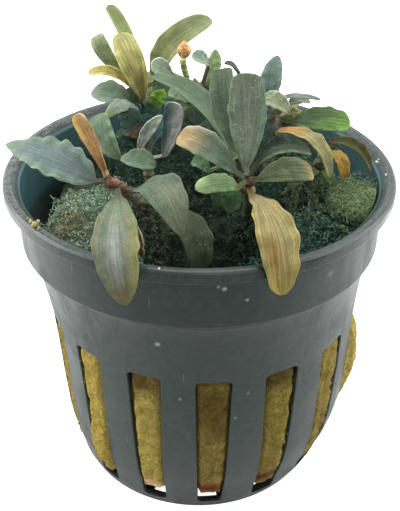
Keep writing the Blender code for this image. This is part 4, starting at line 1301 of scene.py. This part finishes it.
def blade_offset(shape, share, side, phase, settings):
    """How far a blade's point is from the midrib, along the blade's width and out of its face."""
    half = blade_width(share, shape) / 2
    for at, which, long, depth in shape["notches"]:
        if which * side > 0:
            half *= 1 - depth * near((share - at) / long)
    swell = math.sin(math.pi * share)
    wave = math.sin(shape["waves"] * math.tau * share + phase + (1.9 if side > 0 else 0))
    lobes, depth = shape["lobes"]
    seed = 5.0 if side > 0 else 9.0
    ragged = uneven(share, phase, 9, seed, 0) + 0.5 * uneven(share, phase, 24, seed, 3)
    if share > 0:
        half *= 1 + abs(side) * (settings.raggedness * ragged + 0.09 * shape["ripple"] * wave)
        half *= 1 + abs(side) * depth * (abs(math.sin(math.pi * lobes * share + phase)) - 0.6) * swell
    fold = math.radians(shape["fold"])
    lift = half * math.sin(fold) * (math.sqrt(side * side + 0.03) - 0.17)
    lift += half * shape["curl"] * side * side
    lift += shape["ripple"] * wave * side * side * swell * settings.wave_height
    lift -= settings.midrib_groove / MM * near(side / 0.12) * swell
    bumps = 0.22 * uneven(share, phase, 5, side * 1.4, 1) + 0.07 * uneven(share, phase, 16, side * 3.2, 2)
    lift += bumps * swell * min(1, half / 1.2)
    flat = side * half * math.cos(fold)
    turn = math.radians(shape["twist"] * share)
    return flat * math.cos(turn) - lift * math.sin(turn), flat * math.sin(turn) + lift * math.cos(turn)


def make_leaf(stem, shape, settings):
    """A blade with its stalk: its rows run from the stem to the tip, its columns from edge to edge."""
    phase = random.Random(shape["name"]).uniform(0, math.tau)
    across = (shape["tip"] - shape["foot"]).cross(shape["looks"]).normalized()
    start = stalk_start(stem, shape["foot"])
    rows = BLADE_ROWS + STALK_ROWS
    bm = bmesh.new()
    bm.loops.layers.uv.new("blade")
    bmesh.ops.create_grid(bm, x_segments=BLADE_COLUMNS, y_segments=rows, size=0.5, calc_uvs=True)
    tints, weights = [], []
    for vert in bm.verts:
        side = vert.co.x * 2
        row = round((vert.co.y + 0.5) * rows)
        share = 1 - (1 - max(0, row - STALK_ROWS) / BLADE_ROWS) ** 1.3
        point, along = midrib(shape, share)
        if row < STALK_ROWS:
            point = start.lerp(shape["foot"], row / STALK_ROWS)
        up = across.cross(along).normalized()
        aside, above = blade_offset(shape, share, side, phase, settings)
        if row >= STALK_ROWS:
            above += 0.12 * noise.noise(point * 0.35 + Vector((phase, 0, 0))) * math.sin(math.pi * share)
        vert.co = point + across * aside + up * above
        tints.append(blade_tint(shape, share, side) if row >= STALK_ROWS else stalk_tint(shape))
        rib = near(side / 0.22) * (1 - 0.6 * share)
        weights.append(settings.edge_share + (1 - settings.edge_share) * rib if share else 1.0)
    bmesh.ops.recalc_face_normals(bm, faces=bm.faces)
    bm.normal_update()
    if sum((face.normal.dot(shape["looks"]) * face.calc_area() for face in bm.faces), 0.0) < 0:
        bmesh.ops.reverse_faces(bm, faces=bm.faces)
    materials = [leaf_material(shape["skin"], underside, settings) for underside in (False, True)]
    blade = add_mesh("blade_" + shape["name"], bm, materials)
    tint_mesh(blade.data, tints)
    group = blade.vertex_groups.new(name="thickness")
    for index, weight in enumerate(weights):
        group.add([index], weight, "REPLACE")
    thinner = {"vertex_group": "thickness", "thickness_vertex_group": 0.0, "material_offset": 1}
    add_modifier(blade, "Thickness", "SOLIDIFY", thickness=settings.thickness, offset=0, **thinner)
    add_modifier(blade, "Smooth", "SUBSURF", levels=1, render_levels=1)
    if shape["young"]:
        finish_piece(blade, "stem_" + stem)
    else:
        finish_piece(blade, "leaf_" + shape["name"], "leaf_" + shape["name"])


# Crumbs and scraps


# Crumbs: centre, size, colour
CRUMBS = (
    ((-20.6, -17.2, 49.2), 0.9, (186, 172, 110)),
    ((-21.2, -16.2, 49.2), 0.7, (200, 186, 128)),
    ((-19.9, -17.9, 49.15), 0.6, (170, 152, 92)),
    ((-20.2, -16.6, 49.5), 0.55, (206, 194, 140)),
    ((-21.7, -15.4, 49.1), 0.4, (150, 140, 92)),
    ((25.2, 1.2, 49.1), 0.5, (225, 228, 226)),
    ((25.6, 2.0, 49.1), 0.35, (205, 210, 208)),
    ((6.9, -13.0, 52.2), 0.9, (206, 186, 132)),
    ((25.9, -2.6, 49.1), 0.4, (214, 218, 214)),
    ((-4.6, -26.6, 49.05), 0.3, (226, 226, 220)),
)


def make_crumbs(settings):
    rng = random.Random("crumbs")
    bm = bmesh.new()
    tints = []
    for centre, size, colour in CRUMBS:
        made = bmesh.ops.create_icosphere(bm, subdivisions=2, radius=size * settings.crumb_scale / 2)["verts"]
        shift = Vector([rng.uniform(0, 40) for _ in range(3)])
        for vert in made:
            vert.co *= 1 + 0.8 * noise.noise(vert.co * 2.4 + shift)
            tints.append(Vector(seen(*colour)) * (0.85 + 0.3 * rng.random()))
        bmesh.ops.translate(bm, vec=centre, verts=made)
    crumbs = add_mesh("crumbs", bm, [tinted_material("crumb", 0.9, 2.0, 1.0, 0.6, 0.2)])
    tint_mesh(crumbs.data, tints)
    finish_piece(crumbs, "wool_plug")


# The tan leaf fragment: its upper and lower end, width, thickness, colours
SCRAP_TOP = Vector((-7.2, -24.5, 53.5))
SCRAP_FOOT = Vector((-6.75, -24.7, 49.8))
SCRAP_WIDTH = 1.1
SCRAP_THICKNESS = 0.2
SCRAP_TINTS = (seen(150, 138, 108), seen(112, 96, 70))


def make_scrap(settings):
    """A curled strip of dead leaf that hangs from the edge of the hanging leaf."""
    bm = bmesh.new()
    bm.loops.layers.uv.new("blade")
    bmesh.ops.create_grid(bm, x_segments=6, y_segments=18, size=0.5, calc_uvs=True)
    along = SCRAP_FOOT - SCRAP_TOP
    across = Vector((1, 0, 0))
    up = along.cross(across).normalized()
    tints = []
    for vert in bm.verts:
        side, share = vert.co.x * 2, vert.co.y + 0.5
        uneven = noise.noise(Vector((share * 5, side, 2)))
        half = SCRAP_WIDTH / 2 * (0.35 + 0.65 * math.sin(math.pi * share) ** 0.6) * (1 + 0.3 * uneven)
        curl = 0.35 * side * side + 0.3 * math.sin(math.pi * share) + 0.15 * uneven
        vert.co = SCRAP_TOP + along * share + across * side * half + up * curl
        tints.append(Vector(SCRAP_TINTS[0]).lerp(Vector(SCRAP_TINTS[1]), min(1, max(0, share + uneven))))
    bmesh.ops.recalc_face_normals(bm, faces=bm.faces)
    scrap = add_mesh("leaf_scrap", bm, [leaf_material("dry", False, settings)])
    tint_mesh(scrap.data, tints)
    add_modifier(scrap, "Thickness", "SOLIDIFY", thickness=SCRAP_THICKNESS * MM, offset=0)
    finish_piece(scrap, "wool_plug")


# Stage


CAMERA_PLACE = Vector((0.16, -113.73, 106.65))
CAMERA_TILT = 57.39
CAMERA_ROLL = 0.40
CAMERA_LENS = 63.22
FLOOR_RADIUS = 3000
WHITE = (1, 1, 1, 1)


def make_camera():
    camera = bpy.data.cameras.new("camera")
    camera.lens = CAMERA_LENS
    camera.sensor_width = 36
    camera.clip_start = 0.005
    camera.clip_end = 20
    holder = add_object("camera", camera)
    tilt = Matrix.Rotation(math.radians(CAMERA_TILT), 4, "X")
    roll = Matrix.Rotation(math.radians(CAMERA_ROLL), 4, "Z")
    holder.matrix_world = Matrix.Translation(CAMERA_PLACE * MM) @ (tilt @ roll)
    bpy.context.scene.camera = holder


def make_light(name, spot, size, power):
    """A square lamp that faces the pot; its place and size are in metres."""
    light = bpy.data.lights.new(name, "AREA")
    light.shape = "RECTANGLE"
    light.size = size
    light.size_y = size
    light.energy = power
    holder = add_object(name, light)
    holder.location = spot
    holder.rotation_euler = (Vector((0, 0, 0.03)) - Vector(spot)).to_track_quat("-Z", "Y").to_euler()


def make_world(settings):
    """Light all round, dimmer from the front, and plain white where the camera sees it."""
    world = bpy.data.worlds.new("soft_box")
    bpy.context.scene.world = world
    world.use_nodes = True
    tree = world.node_tree
    background = tree.nodes["Background"]
    _, y, _ = split_vector(tree, place(tree, "ShaderNodeTexCoord", out="Generated"))
    strength = ramp(tree, y, -0.6, 0.7, settings.front_light, settings.back_light)
    seen_by_camera = place(tree, "ShaderNodeLightPath", out="Is Camera Ray")
    tree.links.new(sums(tree, "MAXIMUM", strength, seen_by_camera), background.inputs["Strength"])
    background.inputs["Color"].default_value = WHITE


def make_floor(settings):
    """White paper that glows behind the pot, gives back little light in front of it and looks plain white."""
    bm = bmesh.new()
    bmesh.ops.create_circle(bm, cap_ends=True, segments=64, radius=FLOOR_RADIUS)
    bmesh.ops.translate(bm, vec=(0, 0, -0.02), verts=bm.verts)
    material, tree, shader = new_material("floor_paper", 0.9, 0.1)
    where = in_millimetres(tree)
    _, y, _ = split_vector(tree, where)
    paper = blend(tree, noise_at(tree, where, 0.02, 2.0), (0.88, 0.88, 0.87), (0.92, 0.92, 0.92))
    paper = blend(tree, ramp(tree, y, -10.0, -70.0, 0.0, 0.75), paper, (0.16, 0.17, 0.17))
    tree.links.new(paper, shader.inputs["Base Color"])
    shader.inputs["Emission Color"].default_value = WHITE
    seen_by_camera = place(tree, "ShaderNodeLightPath", out="Is Camera Ray")
    glow = ramp(tree, y, -30.0, 60.0, 0.0, settings.floor_glow)
    tree.links.new(sums(tree, "MAXIMUM", seen_by_camera, glow), shader.inputs["Emission Strength"])
    add_mesh("floor", bm, [material])


def make_stage(settings):
    bpy.context.scene.view_settings.view_transform = "Standard"
    make_camera()
    make_floor(settings)
    make_world(settings)
    make_light("light_top", (0.05, 0.05, 0.6), 0.7, settings.top_light)
    make_light("light_left", (-0.5, 0.05, 0.25), 0.5, settings.side_light * 1.5)
    make_light("light_right", (0.5, 0.05, 0.25), 0.5, settings.side_light)


# Add-on


def colour_setting(name, description, default):
    return bpy.props.FloatVectorProperty(
        name=name, description=description, subtype="COLOR", size=3, default=default, precision=4
    )


def length_setting(name, description, default):
    """A length in metres."""
    return bpy.props.FloatProperty(
        name=name, description=description, unit="LENGTH", default=default, precision=6
    )


def power_setting(name, description, default):
    """The power of a lamp in watts."""
    return bpy.props.FloatProperty(name=name, description=description, unit="POWER", default=default)


def amount_setting(name, description, default):
    return bpy.props.FloatProperty(name=name, description=description, default=default)


class PotSettings(bpy.types.PropertyGroup):
    plastic: colour_setting("Plastic", "Colour of the clean plastic", (0.0085, 0.024, 0.018))
    edge_rounding: length_setting("Edge rounding", "Radius of the moulded edges", 0.00018)


class WoolSettings(bpy.types.PropertyGroup):
    fluff: length_setting("Fluff", "Height of the wool's lumps in the slots", 0.0006)
    loose_fibres: bpy.props.IntProperty(
        name="Loose fibres", description="How many fibres stand out", default=2000
    )


class MossSettings(bpy.types.PropertyGroup):
    density: amount_setting("Density", "Share of the fronds that are grown", 1.0)
    thread_radius: length_setting("Thread radius", "Radius at a frond's foot", 0.000062)


class StemSettings(bpy.types.PropertyGroup):
    bark: colour_setting("Bark", "Colour of the stems", seen(112, 60, 38))
    ring_height: amount_setting("Ring height", "Height of the leaf scars as a share of the radius", 0.12)


class BudSettings(bpy.types.PropertyGroup):
    sheath: colour_setting("Sheath", "Colour of the bud", seen(214, 158, 96))


class LeafSettings(bpy.types.PropertyGroup):
    thickness: length_setting("Thickness", "Thickness of the stalk and the midrib", 0.0006)
    edge_share: amount_setting("Edge share", "Share of it left at the edges", 0.35)
    raggedness: amount_setting("Raggedness", "How uneven the edges are", 0.06)
    wave_height: amount_setting("Wave height", "How far the edges wave", 1.0)
    midrib_groove: length_setting("Midrib groove", "Depth of the groove over the midrib", 0.00012)
    vein_depth: length_setting("Vein depth", "Depth of the veins in the skin", 0.0001)


class CrumbSettings(bpy.types.PropertyGroup):
    crumb_scale: amount_setting("Crumb scale", "Size of the crumbs", 0.8)


class StageSettings(bpy.types.PropertyGroup):
    top_light: power_setting("Top light", "Power from above", 2.4)
    side_light: power_setting("Side light", "Power at the right; half as much again at the left", 2.2)
    front_light: amount_setting("Front light", "Strength from the front", 0.64)
    back_light: amount_setting("Back light", "Strength from the back", 1.35)
    floor_glow: amount_setting("Floor glow", "Light that the paper floor gives back behind the pot", 0.6)


class AddPot(bpy.types.Operator):
    """Add the slotted net pot"""

    bl_idname = "bucephalandra.add_pot"
    bl_label = "Net pot"

    def execute(self, context):
        make_pot(context.scene.bucephalandra_pot)
        return {"FINISHED"}


class AddWool(bpy.types.Operator):
    """Add the rock wool plug and its loose fibres"""

    bl_idname = "bucephalandra.add_wool"
    bl_label = "Rock wool"

    def execute(self, context):
        make_wool(context.scene.bucephalandra_wool)
        make_fuzz(context.scene.bucephalandra_wool)
        return {"FINISHED"}


class AddMoss(bpy.types.Operator):
    """Add the mats of moss and the pale tuft"""

    bl_idname = "bucephalandra.add_moss"
    bl_label = "Moss"

    def execute(self, context):
        make_moss(context.scene.bucephalandra_moss)
        return {"FINISHED"}


class AddStems(bpy.types.Operator):
    """Add the stems and the stalk of the bud"""

    bl_idname = "bucephalandra.add_stems"
    bl_label = "Stems"

    def execute(self, context):
        make_stems(context.scene.bucephalandra_stems)
        return {"FINISHED"}


class AddBud(bpy.types.Operator):
    """Add the flower bud"""

    bl_idname = "bucephalandra.add_bud"
    bl_label = "Bud"

    def execute(self, context):
        make_bud(context.scene.bucephalandra_bud)
        return {"FINISHED"}


class AddLeaves(bpy.types.Operator):
    """Add every leaf with its stalk, the young ones too, and the loose tan fragment"""

    bl_idname = "bucephalandra.add_leaves"
    bl_label = "Leaves"

    def execute(self, context):
        settings = context.scene.bucephalandra_leaves
        for stem, leaves in LEAVES.items():
            for shape in leaves:
                make_leaf(stem, shape, settings)
        for number, (stem, *row) in enumerate(YOUNG_LEAVES):
            make_leaf(stem, young_leaf(number, *row), settings)
        make_scrap(settings)
        return {"FINISHED"}


class AddCrumbs(bpy.types.Operator):
    """Add the crumbs on the rim"""

    bl_idname = "bucephalandra.add_crumbs"
    bl_label = "Crumbs"

    def execute(self, context):
        make_crumbs(context.scene.bucephalandra_crumbs)
        return {"FINISHED"}


class AddStage(bpy.types.Operator):
    """Add the floor, the lights and the camera"""

    bl_idname = "bucephalandra.add_stage"
    bl_label = "Stage"

    def execute(self, context):
        make_stage(context.scene.bucephalandra_stage)
        return {"FINISHED"}


# Each part of the panel: its name among the scene's settings, its settings, its operator
PARTS = (
    ("stage", StageSettings, AddStage),
    ("pot", PotSettings, AddPot),
    ("wool", WoolSettings, AddWool),
    ("moss", MossSettings, AddMoss),
    ("stems", StemSettings, AddStems),
    ("bud", BudSettings, AddBud),
    ("leaves", LeafSettings, AddLeaves),
    ("crumbs", CrumbSettings, AddCrumbs),
)


class BucephalandraPanel(bpy.types.Panel):
    """The plant's parts and their settings"""

    bl_idname = "VIEW3D_PT_bucephalandra"
    bl_label = "Bucephalandra"
    bl_space_type = "VIEW_3D"
    bl_region_type = "UI"
    bl_category = "Bucephalandra"

    def draw(self, context):
        for name, group, operator in PARTS:
            box = self.layout.box()
            box.operator(operator.bl_idname)
            settings = getattr(context.scene, "bucephalandra_" + name)
            for key in group.__annotations__:
                box.prop(settings, key)


def register():
    for name, group, operator in PARTS:
        bpy.utils.register_class(group)
        bpy.utils.register_class(operator)
        setattr(bpy.types.Scene, "bucephalandra_" + name, bpy.props.PointerProperty(type=group))
    bpy.utils.register_class(BucephalandraPanel)


def unregister():
    bpy.utils.unregister_class(BucephalandraPanel)
    for name, group, operator in reversed(PARTS):
        delattr(bpy.types.Scene, "bucephalandra_" + name)
        bpy.utils.unregister_class(operator)
        bpy.utils.unregister_class(group)


def main():
    register()
    bpy.ops.bucephalandra.add_stage()
    bpy.ops.bucephalandra.add_pot()
    bpy.ops.bucephalandra.add_wool()
    bpy.ops.bucephalandra.add_moss()
    bpy.ops.bucephalandra.add_stems()
    bpy.ops.bucephalandra.add_bud()
    bpy.ops.bucephalandra.add_leaves()
    bpy.ops.bucephalandra.add_crumbs()


if __name__ == "__main__":
    main()
